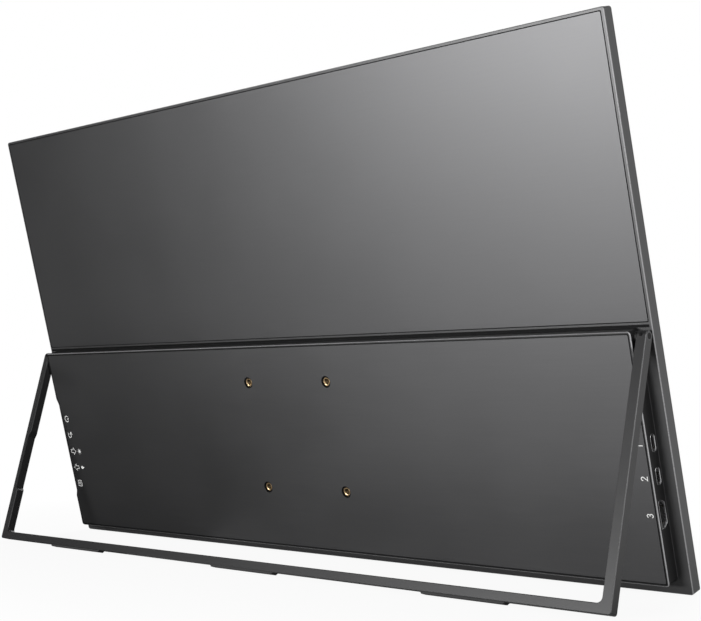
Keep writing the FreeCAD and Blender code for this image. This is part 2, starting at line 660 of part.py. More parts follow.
def electronics_cover():
    """Cover of the electronics box with its port and button openings and bosses."""
    cover = sheet(box_outline(0), BOX_CORNER_RADIUS, 0, BOX_DEPTH)
    cover = cover.makeChamfer(EDGE_CHAMFER, edges_at_depth(cover, BOX_DEPTH))
    cover = cover.cut(sheet(box_outline(COVER_WALL), INNER_CORNER_RADIUS, -OVERRUN, SKIN_Y))
    cover = cover.cut(sheet(box_outline(COVER_RIM), INNER_CORNER_RADIUS,
                            SEAT_Y, BOX_DEPTH + OVERRUN))
    insert_front = SEAT_Y - INSERT_LENGTH
    bosses = ring_of_bosses(mount_places(), INSERT_BOSS_RADIUS,
                            insert_front - INSERT_BOSS_FLOOR, SKIN_Y)
    bosses += ring_of_bosses(cover_screw_places(), COVER_BOSS_RADIUS, COVER_BOSS_SEAT, SKIN_Y)
    cover = cover.fuse(bosses)
    holes = ring_of_bosses(mount_places(), INSERT_RADIUS + INSERT_CLEARANCE,
                           insert_front, BOX_DEPTH)
    holes += ring_of_bosses(cover_screw_places(), COVER_SCREW_RADIUS + SCREW_CLEARANCE,
                            COVER_BOSS_SEAT - OVERRUN, BOX_DEPTH)
    holes += ring_of_bosses(cover_screw_places(), COVER_SCREW_HEAD_RADIUS + SCREW_CLEARANCE,
                            SEAT_Y - COVER_SCREW_HEAD, BOX_DEPTH)
    port_wall = (-BOX_HALF - OVERRUN, COVER_WALL + OVERRUN - BOX_HALF)
    for section in port_sections():
        holes.append(bar_along_x(section, *port_wall))
    for height in BUTTON_HEIGHTS:
        holes.append(bar_along_x(button_section(height, BUTTON_CLEARANCE),
                                 SCOOP_INNER_X - OVERRUN, BOX_HALF + OVERRUN))
    for side in SIDES.values():
        outer = side * (BOX_HALF + OVERRUN)
        inner = side * (BOX_HALF - COVER_WALL - OVERRUN)
        holes.append(rod_along_x(PIVOT_Y, PIVOT_Z, BUSH_RADIUS + BUSH_FIT,
                                 min(outer, inner), max(outer, inner)))
    return cover.cut(holes).removeSplitter()


def lower_plate_sheet(inset, front, back):
    """Plate over the box's back, open at the mounting holes."""
    plate = sheet(box_outline(COVER_RIM + COVER_GROOVE + inset), INNER_CORNER_RADIUS, front, back)
    return plate.cut(ring_of_bosses(mount_places(), MOUNT_HOLE_RADIUS,
                                    front - OVERRUN, back + OVERRUN))


def mount_inserts():
    """Four threaded brass inserts with a waist, in the cover's bosses."""
    inserts = []
    front = SEAT_Y - INSERT_LENGTH
    waist = SEAT_Y - INSERT_LENGTH / 2
    for x, z in mount_places():
        body = rod_along_y(x, z, INSERT_RADIUS, front, SEAT_Y)
        groove = rod_along_y(x, z, INSERT_RADIUS + OVERRUN, waist - INSERT_WAIST_LENGTH / 2,
                             waist + INSERT_WAIST_LENGTH / 2)
        groove = groove.cut(rod_along_y(x, z, INSERT_RADIUS - INSERT_WAIST, front, SEAT_Y))
        thread = rod_along_y(x, z, INSERT_THREAD_RADIUS, front - OVERRUN, SEAT_Y + OVERRUN)
        inserts.append(body.cut(groove).cut(thread))
    return Part.makeCompound(inserts)


def drilled_board(left, right, bottom, top):
    """Circuit board on its bosses, drilled for the screws that fall on it."""
    board = block(left, right, BOARD_STANDOFF, BOARD_TOP_Y, bottom, top)
    return board.cut(ring_of_bosses(board_screw_places(), BOARD_SCREW_RADIUS + SCREW_CLEARANCE,
                                    BOARD_STANDOFF - OVERRUN, BOARD_TOP_Y + OVERRUN))


def shield_middle():
    """Middle of the shield can on the main board."""
    across, up = SHIELD_PLACE_SHARES
    return (BOARD_LEFT + across * BOARD_WIDTH, BOARD_BOTTOM + up * (BOARD_TOP - BOARD_BOTTOM))


def board_parts():
    """Chips, coils and ribbon sockets on the main board and the button board."""
    x, z = shield_middle()
    half = SCALER_SIZE / 2
    parts = [block(x - half, x + half, BOARD_TOP_Y, BOARD_TOP_Y + SCALER_DEPTH, z - half, z + half)]
    half = COIL_SIZE / 2
    for across, up in COIL_PLACE_SHARES:
        x = BOARD_LEFT + across * BOARD_WIDTH
        z = BOARD_BOTTOM + up * (BOARD_TOP - BOARD_BOTTOM)
        parts.append(block(x - half, x + half, BOARD_TOP_Y, BOARD_TOP_Y + COIL_DEPTH,
                           z - half, z + half))
    top_y = BOARD_TOP_Y + SOCKET_DEPTH
    half = DISPLAY_RIBBON_WIDTH / 2 + SOCKET_MARGIN
    low = BOARD_BOTTOM + SOCKET_MARGIN
    parts.append(block(DISPLAY_RIBBON_X - half, DISPLAY_RIBBON_X + half,
                       BOARD_TOP_Y, top_y, low, low + SOCKET_LENGTH))
    half = BUTTON_RIBBON_WIDTH / 2 + SOCKET_MARGIN
    for left in (BOARD_RIGHT - SOCKET_MARGIN - SOCKET_LENGTH, BUTTON_BOARD_LEFT + SOCKET_MARGIN):
        parts.append(block(left, left + SOCKET_LENGTH, BOARD_TOP_Y, top_y,
                           BUTTON_ROW_HEIGHT - half, BUTTON_ROW_HEIGHT + half))
    return Part.makeCompound(parts)


def board_shield():
    """Pressed metal can over the main chip."""
    x, z = shield_middle()
    reach_x = SHIELD_WIDTH / 2
    reach_z = SHIELD_HEIGHT / 2
    top_y = BOARD_TOP_Y + SHIELD_DEPTH
    can = block(x - reach_x, x + reach_x, BOARD_TOP_Y, top_y, z - reach_z, z + reach_z)
    inner_x = reach_x - SHIELD_SHEET
    inner_z = reach_z - SHIELD_SHEET
    return can.cut(block(x - inner_x, x + inner_x, BOARD_TOP_Y - OVERRUN, top_y - SHIELD_SHEET,
                         z - inner_z, z + inner_z))


def port_shell(outer, inner, length, back_sheet):
    """Metal port shell, open at the side of the box and closed at its inner end."""
    mouth = PORT_RECESS - BOX_HALF
    shell = bar_along_x(outer, mouth, mouth + length)
    return shell.cut(bar_along_x(inner, mouth - OVERRUN, mouth + length - back_sheet))


def small_port(height):
    """Shell of a small reversible port."""
    outer = small_port_section(height, 0)
    inner = small_port_section(height, SMALL_PORT_SHEET)
    return port_shell(outer, inner, SMALL_PORT_LENGTH, SMALL_PORT_SHEET)


def wide_port():
    """Shell of the wide port."""
    outer = wide_port_section(0)
    inner = wide_port_section(WIDE_PORT_SHEET)
    return port_shell(outer, inner, WIDE_PORT_LENGTH, WIDE_PORT_SHEET)


def port_tongue(height, depth, width, thickness, length, end_x):
    """Contact tongue that stands out from the inner end of a port shell."""
    return block(end_x - length, end_x, depth - thickness / 2, depth + thickness / 2,
                 height - width / 2, height + width / 2)


def port_tongues():
    """Contact tongues of the three ports."""
    mouth = PORT_RECESS - BOX_HALF
    small_depth = BOARD_TOP_Y + SMALL_PORT_THICKNESS / 2
    wide_depth = BOARD_TOP_Y + WIDE_PORT_THICKNESS / 2
    tongues = [port_tongue(height, small_depth, SMALL_TONGUE_WIDTH, SMALL_TONGUE_THICKNESS,
                           SMALL_TONGUE_LENGTH, mouth + SMALL_PORT_LENGTH - SMALL_PORT_SHEET)
               for height in (UPPER_PORT_HEIGHT, LOWER_PORT_HEIGHT)]
    tongues.append(port_tongue(WIDE_PORT_HEIGHT, wide_depth, WIDE_TONGUE_WIDTH,
                               WIDE_TONGUE_THICKNESS, WIDE_TONGUE_LENGTH,
                               mouth + WIDE_PORT_LENGTH - WIDE_PORT_SHEET))
    return Part.makeCompound(tongues)


def display_ribbon():
    """Flat ribbon from the driver board through the back wall to the main board."""
    left = DISPLAY_RIBBON_X - DISPLAY_RIBBON_WIDTH / 2
    right = left + DISPLAY_RIBBON_WIDTH
    turn = DRIVER_TOP - RIBBON_SHEET
    lap = block(left, right, DRIVER_BACK, DRIVER_BACK + RIBBON_SHEET,
                DRIVER_TOP - DISPLAY_RIBBON_LAP, DRIVER_TOP)
    rise = block(left, right, DRIVER_BACK, RIBBON_Y + RIBBON_SHEET, turn, DRIVER_TOP)
    run = block(left, right, RIBBON_Y, RIBBON_Y + RIBBON_SHEET, turn, BOARD_BOTTOM + SOCKET_MARGIN)
    return lap.fuse([rise, run]).removeSplitter()


def button_ribbon():
    """Flat ribbon along the housing's back from the main board to the button board."""
    low = BUTTON_ROW_HEIGHT - BUTTON_RIBBON_WIDTH / 2
    high = low + BUTTON_RIBBON_WIDTH
    start = BOARD_RIGHT - SOCKET_MARGIN
    dip = BOARD_RIGHT + BUTTON_RIBBON_RUNOUT
    climb = BUTTON_BOARD_LEFT - BUTTON_RIBBON_RUNOUT
    end = BUTTON_BOARD_LEFT + SOCKET_MARGIN
    top_y = RIBBON_Y + RIBBON_SHEET
    pieces = [block(dip - RIBBON_SHEET, dip, 0, top_y, low, high),
              block(dip - RIBBON_SHEET, climb + RIBBON_SHEET, 0, RIBBON_SHEET, low, high),
              block(climb, climb + RIBBON_SHEET, 0, top_y, low, high),
              block(climb, end, RIBBON_Y, top_y, low, high)]
    return block(start, dip, RIBBON_Y, top_y, low, high).fuse(pieces).removeSplitter()


def button_section(height, grow):
    """Round-ended section of a button, let out by a distance."""
    return stadium_section(BUTTON_Y, height, BUTTON_DEPTH + 2 * grow, BUTTON_WIDTH + 2 * grow)


def button(height):
    """Push button with a lip behind the wall and a stem that enters its switch."""
    cap = bar_along_x(button_section(height, 0), LIP_INNER_X, SCOOP_FLOOR_X + BUTTON_PROUD)
    lip = bar_along_x(button_section(height, BUTTON_LIP), LIP_INNER_X, LIP_OUTER_X)
    stem = rod_along_x(BUTTON_Y, height, BUTTON_STEM_RADIUS,
                       SWITCH_FACE_X - BUTTON_STEM_REACH, LIP_INNER_X)
    return cap.fuse([lip, stem]).removeSplitter()


def tact_switches():
    """Side-pushed switches, each with the bore that takes its button's stem."""
    switches = []
    bore_end = SWITCH_FACE_X - BUTTON_STEM_REACH - BUTTON_TRAVEL - BUTTON_STOP_GAP
    for height in BUTTON_HEIGHTS:
        body = block(SWITCH_FACE_X - SWITCH_LENGTH, SWITCH_FACE_X, BOARD_TOP_Y,
                     BOARD_TOP_Y + SWITCH_HEIGHT, height - SWITCH_WIDTH / 2,
                     height + SWITCH_WIDTH / 2)
        switches.append(body.cut(rod_along_x(BUTTON_Y, height, BUTTON_STEM_RADIUS + STEM_CLEARANCE,
                                             bore_end, SWITCH_FACE_X + OVERRUN)))
    return Part.makeCompound(switches)


def board_screws():
    """Small screws of the main board and the button board."""
    return Part.makeCompound([
        screw(x, z, BOARD_SCREW_RADIUS, BOARD_SCREW_HEAD_RADIUS, BOARD_SCREW_TIP,
              BOARD_TOP_Y, BOARD_TOP_Y + BOARD_SCREW_HEAD) for x, z in board_screw_places()])


def cover_screws():
    """Screws that hold the box cover, hidden under the lower plate."""
    return Part.makeCompound([
        screw(x, z, COVER_SCREW_RADIUS, COVER_SCREW_HEAD_RADIUS, COVER_SCREW_TIP,
              SEAT_Y - COVER_SCREW_HEAD, SEAT_Y) for x, z in cover_screw_places()])


def hinge_screws():
    """Screws through the leaves of the hinge brackets."""
    seat = LEAF_Y + BRACKET_SHEET
    return Part.makeCompound([
        screw(x, z, HINGE_SCREW_RADIUS, HINGE_SCREW_HEAD_RADIUS, HINGE_SCREW_TIP,
              seat, seat + HINGE_SCREW_HEAD) for x, z in hinge_screw_places()])


def span(side, inner, outer):
    """Left and right ends of a stretch given outwards from the middle of the object."""
    return sorted((side * inner, side * outer))


def hinge_bracket(side):
    """Sheet bracket rolled round the shaft, with a leaf screwed to the housing."""
    left, right = span(side, BRACKET_INNER_X, BRACKET_OUTER_X)
    leaf = block(left, right, LEAF_Y, LEAF_Y + BRACKET_SHEET, PIVOT_Z - LEAF_LENGTH, PIVOT_Z)
    roll = rod_along_x(PIVOT_Y, PIVOT_Z, BARREL_RADIUS, left, right)
    bore = rod_along_x(PIVOT_Y, PIVOT_Z, SHAFT_RADIUS + SHAFT_FIT, left - OVERRUN, right + OVERRUN)
    holes = ring_of_bosses(hinge_screw_places(), HINGE_SCREW_RADIUS + SCREW_CLEARANCE,
                           LEAF_Y - OVERRUN, LEAF_Y + BRACKET_SHEET + OVERRUN)
    return leaf.fuse(roll).cut([bore] + holes).removeSplitter()


def hinge_bush(side):
    """Flanged bush in the box's side wall that spaces and guides the shaft."""
    left, right = span(side, BOX_HALF - COVER_WALL - BUSH_TAIL, BOX_HALF)
    sleeve = rod_along_x(PIVOT_Y, PIVOT_Z, BUSH_RADIUS, left, right)
    left, right = span(side, BOX_HALF, ARM_INNER_X - BUSH_END_GAP)
    flange = rod_along_x(PIVOT_Y, PIVOT_Z, BUSH_FLANGE_RADIUS, left, right)
    bore = rod_along_x(PIVOT_Y, PIVOT_Z, SHAFT_RADIUS + SHAFT_FIT, -SLAB_HALF, SLAB_HALF)
    return sleeve.fuse(flange).cut(bore).removeSplitter()


def hinge_shaft(side):
    """Shaft fixed in the stand's arm, with a head at its inner end."""
    head_outer = BRACKET_INNER_X - SHAFT_END_GAP
    left, right = span(side, head_outer - SHAFT_HEAD, SLAB_HALF - CAP_DEPTH)
    shaft = rod_along_x(PIVOT_Y, PIVOT_Z, SHAFT_RADIUS, left, right)
    left, right = span(side, head_outer - SHAFT_HEAD, head_outer)
    return shaft.fuse(rod_along_x(PIVOT_Y, PIVOT_Z, SHAFT_HEAD_RADIUS, left, right)).removeSplitter()


def hinge_cap(side):
    """Round cap flush with the outer side of the arm."""
    left, right = span(side, SLAB_HALF - CAP_DEPTH, SLAB_HALF)
    return rod_along_x(PIVOT_Y, PIVOT_Z, CAP_RADIUS, left, right)


def stand_set_screws():
    """Grub screws from the back of each arm that pin the shafts."""
    screws = []
    back = PIVOT_Y + ARM_DEPTH / 2 - SET_SCREW_SINK
    for side in SIDES.values():
        x = side * ARM_MIDDLE_X
        body = rod_along_y(x, PIVOT_Z, SET_SCREW_RADIUS, PIVOT_Y + SHAFT_RADIUS, back)
        screws.append(body.cut(rod_along_y(x, PIVOT_Z, SET_SCREW_SOCKET_RADIUS,
                                           back - SET_SCREW_SOCKET_DEPTH, back + OVERRUN)))
    return Part.makeCompound(screws)


def stand_outer():
    """Bar and arms of the stand as one solid plate, with rounded arm ends."""
    front = PIVOT_Y - ARM_DEPTH / 2
    back = PIVOT_Y + ARM_DEPTH / 2
    above = PIVOT_Z + ARM_DEPTH
    outer = rectangle(-SLAB_HALF, SLAB_HALF, STAND_BOTTOM, above)
    inner = rectangle(-ARM_INNER_X, ARM_INNER_X, STAND_BOTTOM + BAR_HEIGHT, above + ARM_DEPTH)
    frame = sheet(outer, STAND_OUTER_RADIUS, front, back)
    frame = frame.cut(sheet(inner, STAND_INNER_RADIUS, front - OVERRUN, back + OVERRUN))
    frame = frame.makeChamfer(STAND_EDGE_CHAMFER, edges_at_depth(frame, front)
                              + edges_at_depth(frame, back))
    frame = frame.common(block(-SLAB_HALF, SLAB_HALF, front, back, STAND_BOTTOM, PIVOT_Z))
    ends = []
    for side in SIDES.values():
        left, right = span(side, ARM_INNER_X, SLAB_HALF)
        end = rod_along_x(PIVOT_Y, PIVOT_Z, ARM_DEPTH / 2, left, right)
        rims = [edge for edge in end.Edges if edge.BoundBox.XLength < edge.BoundBox.ZLength / 2]
        ends.append(end.makeChamfer(STAND_EDGE_CHAMFER, rims))
    return frame.fuse(ends).removeSplitter()


def pad_outline(place, length, bevel):
    """Outline of a foot pad across the width, narrower at its foot by the bevel."""
    top = STAND_BOTTOM + PAD_POCKET
    half = length / 2
    places = ((place - half + bevel, PAD_BOTTOM), (place + half - bevel, PAD_BOTTOM),
              (place + half, STAND_BOTTOM), (place + half, top),
              (place - half, top), (place - half, STAND_BOTTOM))
    return [FreeCAD.Vector(x, PIVOT_Y - PAD_DEPTH / 2, z) for x, z in places]


def foot_pad(place):
    """Rubber pad set in a pocket under the stand's bar."""
    return flat_face(pad_outline(place, PAD_LENGTH, PAD_PROUD)).extrude(Y_AXIS * PAD_DEPTH)


def stand_relief():
    """Cut along the inner side of the right arm that clears fingers at the buttons."""
    top = PIVOT_Z - RELIEF_START
    low = PIVOT_Z - RELIEF_END
    floor = ARM_INNER_X + RELIEF_DEPTH
    free = ARM_INNER_X - OVERRUN
    places = ((free, low), (ARM_INNER_X, low), (floor, low + RELIEF_LOWER_BEVEL),
              (floor, top - RELIEF_UPPER_BEVEL), (ARM_INNER_X, top), (free, top))
    front = PIVOT_Y - ARM_DEPTH
    face = flat_face([FreeCAD.Vector(x, front, z) for x, z in places])
    return face.extrude(Y_AXIS * (2 * ARM_DEPTH))


def stand_frame():
    """Stand bar and arms, bored for the shafts and cut for caps, grub screws and pads."""
    cuts = [stand_relief()]
    for side in SIDES.values():
        left, right = span(side, ARM_INNER_X - OVERRUN, SLAB_HALF - CAP_DEPTH)
        cuts.append(rod_along_x(PIVOT_Y, PIVOT_Z, SHAFT_RADIUS + SCREW_CLEARANCE, left, right))
        left, right = span(side, SLAB_HALF - CAP_DEPTH, SLAB_HALF + OVERRUN)
        cuts.append(rod_along_x(PIVOT_Y, PIVOT_Z, CAP_RADIUS + CAP_CLEARANCE, left, right))
        cuts.append(rod_along_y(side * ARM_MIDDLE_X, PIVOT_Z, SET_SCREW_RADIUS + SCREW_CLEARANCE,
                                PIVOT_Y, PIVOT_Y + ARM_DEPTH))
    for share in PAD_PLACE_SHARES:
        place = share * SLAB_HALF
        half = PAD_LENGTH / 2 + PAD_CLEARANCE
        reach = PAD_DEPTH / 2 + PAD_CLEARANCE
        cuts.append(block(place - half, place + half, PIVOT_Y - reach, PIVOT_Y + reach,
                          STAND_BOTTOM - OVERRUN, STAND_BOTTOM + PAD_POCKET))
    return stand_outer().cut(cuts).removeSplitter()


def monitor_pieces():
    """Pieces that stay with the slab, by name."""
    pieces = {
        "front_bezel": front_bezel(),
        "lcd_cell": lcd_cell(),
        "panel_middle_frame": panel_middle_frame(),
        "optical_films": layer_sheet(FILM_Y, GUIDE_Y),
        "light_guide_plate": layer_sheet(GUIDE_Y, REFLECTOR_Y),
        "reflector_sheet": layer_sheet(REFLECTOR_Y, TRAY_Y),
        "panel_tray": panel_tray(),
        "led_strip": led_strip(),
        "led_packages": led_packages(),
        "panel_driver_board": panel_driver_board(),
        "panel_flex_tails": panel_flex_tails(),
        "rear_housing": rear_housing(),
        "upper_back_plate": upper_back_plate(),
        "upper_plate_tape": upper_plate_tape(),
        "electronics_cover": electronics_cover(),
        "lower_back_plate": lower_plate_sheet(0, SEAT_Y + TAPE_THICKNESS, BOX_DEPTH),
        "lower_plate_tape": lower_plate_sheet(TAPE_INSET, SEAT_Y, SEAT_Y + TAPE_THICKNESS),
        "mount_inserts": mount_inserts(),
        "main_board": drilled_board(BOARD_LEFT, BOARD_RIGHT, BOARD_BOTTOM, BOARD_TOP),
        "button_board": drilled_board(BUTTON_BOARD_LEFT, BUTTON_BOARD_RIGHT,
                                      BUTTON_BOARD_LOW, BUTTON_BOARD_HIGH),
        "board_parts": board_parts(),
        "board_shield": board_shield(),
        "small_port_upper": small_port(UPPER_PORT_HEIGHT),
        "small_port_lower": small_port(LOWER_PORT_HEIGHT),
        "wide_port": wide_port(),
        "port_tongues": port_tongues(),
        "display_ribbon": display_ribbon(),
        "button_ribbon": button_ribbon(),
        "tact_switches": tact_switches(),
        "board_screws": board_screws(),
        "cover_screws": cover_screws(),
        "hinge_screws": hinge_screws(),
    }
    for name, height in zip(BUTTON_NAMES, BUTTON_HEIGHTS):
        pieces[name] = button(height)
    for name, side in SIDES.items():
        pieces["hinge_bracket_" + name] = hinge_bracket(side)
        pieces["hinge_bush_" + name] = hinge_bush(side)
    return pieces


def stand_pieces():
    """Pieces that swing with the stand, by name."""
    pieces = {"stand_frame": stand_frame(), "stand_set_screws": stand_set_screws()}
    for name, share in zip(("left", "middle", "right"), PAD_PLACE_SHARES):
        pieces["foot_pad_" + name] = foot_pad(share * SLAB_HALF)
    for name, side in SIDES.items():
        pieces["hinge_shaft_" + name] = hinge_shaft(side)
        pieces["hinge_cap_" + name] = hinge_cap(side)
    return pieces


def lean_angle():
    """Angle that the slab leans back when its bottom edge and the foot pads rest on a table."""
    swing = math.radians(OPEN_ANGLE)
    length = PIVOT_Z - PAD_BOTTOM
    reach = -PAD_DEPTH / 2
    foot_y = PIVOT_Y + reach * math.cos(swing) + length * math.sin(swing)
    foot_z = PIVOT_Z + reach * math.sin(swing) - length * math.cos(swing)
    return math.degrees(math.atan2(foot_z, foot_y + EDGE_CHAMFER))


def posed(shape, swings):
    """Copy of a piece turned to its place in use."""
    copy = shape.copy()
    if swings:
        copy.rotate(PIVOT, X_AXIS, OPEN_ANGLE)
    copy.rotate(FreeCAD.Vector(0, 0, 0), X_AXIS, -lean_angle())
    return copy


def build():
    """All pieces in use, with the origin under the middle of the object."""
    pieces = {name: posed(shape, False) for name, shape in monitor_pieces().items()}
    pieces.update({name: posed(shape, True) for name, shape in stand_pieces().items()})
    corners = [vertex.Point for shape in pieces.values() for vertex in shape.Vertexes]
    depths = [corner.y for corner in corners]
    lowest = min(corner.z for corner in corners)
    shift = FreeCAD.Vector(0, -(min(depths) + max(depths)) / 2, -lowest)
    for shape in pieces.values():
        shape.translate(shift)
    return pieces, shift


PIECES, SHIFT = build()
os.makedirs("parts", exist_ok=True)
for node, piece in PIECES.items():
    piece.exportStep("parts/" + node + ".step")
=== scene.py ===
"""Looks of the portable monitor: finishes, printed signs, small pieces, studio and camera.

Everything is in metres. New pieces are drawn in the upright axes of the body that carries them:
x across to the right seen from the front, y out of the back, z up. The monitor's axes start at
the middle of the slab's bottom edge on its back face, and the stand's at the hinge.
"""
import json
import math

import bmesh
import bpy
import numpy as np
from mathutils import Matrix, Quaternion, Vector


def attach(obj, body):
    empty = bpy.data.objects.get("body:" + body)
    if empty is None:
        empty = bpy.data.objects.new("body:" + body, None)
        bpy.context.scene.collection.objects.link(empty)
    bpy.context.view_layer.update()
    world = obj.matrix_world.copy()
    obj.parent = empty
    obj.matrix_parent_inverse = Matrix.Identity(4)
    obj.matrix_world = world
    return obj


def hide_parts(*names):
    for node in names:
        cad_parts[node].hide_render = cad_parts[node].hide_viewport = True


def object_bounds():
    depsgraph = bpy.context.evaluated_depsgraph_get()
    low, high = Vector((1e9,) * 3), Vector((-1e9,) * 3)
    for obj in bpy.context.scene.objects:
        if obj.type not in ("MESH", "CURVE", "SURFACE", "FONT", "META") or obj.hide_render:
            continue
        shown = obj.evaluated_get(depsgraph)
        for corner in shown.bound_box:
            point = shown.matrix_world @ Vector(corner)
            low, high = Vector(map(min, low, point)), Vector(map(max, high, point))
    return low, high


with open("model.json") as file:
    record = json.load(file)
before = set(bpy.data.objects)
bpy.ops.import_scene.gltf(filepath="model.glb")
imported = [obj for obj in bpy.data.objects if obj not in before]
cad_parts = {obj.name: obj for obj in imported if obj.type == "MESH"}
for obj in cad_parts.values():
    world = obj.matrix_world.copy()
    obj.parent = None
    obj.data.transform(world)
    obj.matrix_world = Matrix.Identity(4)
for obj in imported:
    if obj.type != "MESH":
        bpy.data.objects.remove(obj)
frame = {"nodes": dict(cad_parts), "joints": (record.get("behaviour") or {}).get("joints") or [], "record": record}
CAD_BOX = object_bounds()
MM = 0.001

# Camera, from the photograph's perspective
CAMERA_PLACE = (-0.6634, 0.6366, 0.1421)
CAMERA_AIM = (-0.0461, -0.0179, 0.1669)
CAMERA_ROLL = math.radians(1.95)
CAMERA_LENS = 70.19
CAMERA_SENSOR = 36.0

# Soft lamps: place, point that they look at, width and height, and power
LAMPS = {
    "key_softbox": {"place": (0.62, 2.00, 0.22), "aim": (-0.2, 0.0, 0.2),
                    "size": (1.1, 0.46), "power": 48.0},
    "front_softbox": {"place": (0.5, -2.0, 1.3), "aim": (0.0, 0.0, 0.15),
                      "size": (1.4, 1.0), "power": 40.0},
    "fill_softbox": {"place": (-1.6, 0.3, 0.45), "aim": (-0.27, 0.0, 0.15),
                     "size": (0.8, 0.8), "power": 9.0},
}

# Floor: side, grey, roughness, least white to the eye and in mirrors, and the way over which it whitens
FLOOR_SIZE = 12.0
FLOOR_SHADE = 0.80
FLOOR_ROUGHNESS = 0.9
FLOOR_GLOW = 0.93
FLOOR_MIRROR = 0.0
FLOOR_FADE = 0.27

# Strength of the even light that the surroundings give, and their colour
AMBIENT = 0.25
WHITE = (1.0, 1.0, 1.0, 1.0)

# Black cards: ends of the upright one in plan and its height, corners of the level ones and theirs
CARD_NEAR = (0.42, 0.05)
CARD_FAR = (0.74, 1.25)
CARD_HEIGHT = 0.4
FLOOR_CARD_LOW = (0.12, -0.05)
FLOOR_CARD_HIGH = (0.80, 0.28)
FLOOR_CARD_HEIGHT = 2.0 * MM
ROOF_LOW = (-0.35, -0.45)
ROOF_HIGH = (1.60, 1.75)
ROOF_HEIGHT = 0.56
CARD_LOOK = {"level": 0.01, "roughness": 0.9, "grain": 1.0 * MM, "depth": 0.05 * MM}

# Detail of the fine patterns. A swing is by how much a pattern changes the roughness, a break share how
# much of a marked area a pattern takes away.
FINE_DETAIL = 3.0

# Moulded plastics and rubber: shade, roughness, size of the grain and depth of its relief, and for all
# of them their clouds and how much paler the rubbed spots are
MOULDED = {
    "bezel_plastic": {"level": 0.018, "roughness": 0.50, "grain": 0.30 * MM, "depth": 0.020 * MM},
    "black_plastic": {"level": 0.020, "roughness": 0.48, "grain": 0.25 * MM, "depth": 0.015 * MM},
    "tape_black": {"level": 0.025, "roughness": 0.65, "grain": 0.50 * MM, "depth": 0.020 * MM},
    # bush_nylon: black nylon, darkened further as a painted shade of the hinge gap
    "bush_nylon": {"level": 0.006, "roughness": 0.60, "grain": 0.40 * MM, "depth": 0.010 * MM},
    "pad_rubber": {"level": 0.016, "roughness": 0.78, "grain": 0.22 * MM, "depth": 0.030 * MM},
    "button_plastic": {"level": 0.026, "roughness": 0.40, "grain": 0.20 * MM, "depth": 0.010 * MM},
}
CLOUD_SIZE = 28 * MM
CLOUD_SHARE = 0.6
CLOUD_SWING = 0.10
GRAIN_SWING = 0.06
WORN_SHARE = 1.25

# Plated and turned metals, and for all of them their drawn lines, their stain and the fine relief
PLATED = {
    "tray_steel": {"colour": (0.55, 0.56, 0.57), "roughness": 0.38},
    "shield_tin": {"colour": (0.62, 0.63, 0.64), "roughness": 0.34},
    "port_steel": {"colour": (0.58, 0.58, 0.59), "roughness": 0.28},
    # screw_steel: dark steel, darkened further as a painted shade of the set screws' holes
    "screw_steel": {"colour": (0.03, 0.03, 0.031), "roughness": 0.40},
    "hinge_steel": {"colour": (0.42, 0.42, 0.43), "roughness": 0.30},
    "contact_gold": {"colour": (0.83, 0.58, 0.22), "roughness": 0.25},
}
DRAWN_SIZE = 0.12 * MM
DRAWN_STRETCH = (30.0, 1.0, 1.0)
STAIN_SIZE = 3 * MM
STAIN_SHARE = 0.75
STAIN_SWING = 0.14
FINE_RELIEF = 0.004 * MM

# White and clear sheets of the backlight, with the number of their dots to the metre and the dots' shade
PALE_SHEETS = {
    "film_white": {"colour": (0.84, 0.84, 0.83), "roughness": 0.40},
    "lamp_white": {"colour": (0.88, 0.82, 0.55), "roughness": 0.30},
    "light_guide_clear": {"colour": (0.90, 0.94, 0.94), "roughness": 0.08,
                          "transmission_weight": 0.9, "ior": 1.49},
}
DOT_SCALE = 700.0
DOT_SHADE_SHARE = 0.93
DOT_SWING = 0.05

# Satin metals: darkest and lightest shade, roughness, share of bare metal, and shade of the cut edges, whose
# lightness is partly a painted highlight
PLATE_SHADES = (0.071, 0.096)
PLATE_ROUGHNESS = 0.44
HOUSING_SHADES = (0.048, 0.066)
HOUSING_ROUGHNESS = 0.40
HOUSING_METAL_SHARE = 0.5
HOUSING_CUT_AND_HIGHLIGHT_SHADE = 0.30
COVER_SHADES = (0.014, 0.020)
COVER_CUT_AND_HIGHLIGHT_SHADE = 0.42
STAND_SHADES = (0.028, 0.040)
STAND_ROUGHNESS = 0.40
STAND_METAL_SHARE = 0.55
STAND_CUT_AND_HIGHLIGHT_SHADE = 0.06

# Painted shade on the floors of the recesses, a painted highlight line along the foot of the box, and the smoother
# cut edges
RECESS_PAINTED_SHADE = 0.008
SUNK_SWING = 0.2
SUNK_BREAK_SHARE = 0.1
FOOT_HIGHLIGHT_SHADE = 0.10
FOOT_HIGHLIGHT_HEIGHT = 0.6 * MM
CUT_SWING = 0.12
EDGE_BREAK_SHARE = 0.25

# Cosines: the least of a floor that looks back, and how far a cut edge's may be from half a right angle's
SQUARE_ON = 0.9
CUT_TOLERANCE = 0.12

# Patterns of the satin metals: blasted grain, rolling lines, handling haze and the height of their relief
BLAST_SIZE = 0.22 * MM
ROLLING_SIZE = 0.5 * MM
ROLLING_STRETCH = (60.0, 1.0, 1.0)
HAZE_SIZE = 70 * MM
BLAST_SHARE = 0.35
ROLLING_SHARE = 0.35
HAZE_SHARE = 0.3
SATIN_SWING = 0.05
SATIN_RELIEF = 0.006 * MM
BLAST_RELIEF_SHARE = 0.7

# Brass: darkest and lightest colour, roughness, painted shade in the bores, clouds and turned rings
BRASS_COLOURS = ((0.40, 0.28, 0.15), (0.62, 0.45, 0.26))
BRASS_ROUGHNESS = 0.34
BORE_SHADE_COLOUR = (0.05, 0.035, 0.02)
BORE_SHADE_SHARE = 0.8
BRASS_CLOUD_SIZE = 1.5 * MM
RING_SIZE = 0.10 * MM
RING_STRETCH = (40.0, 1.0, 40.0)

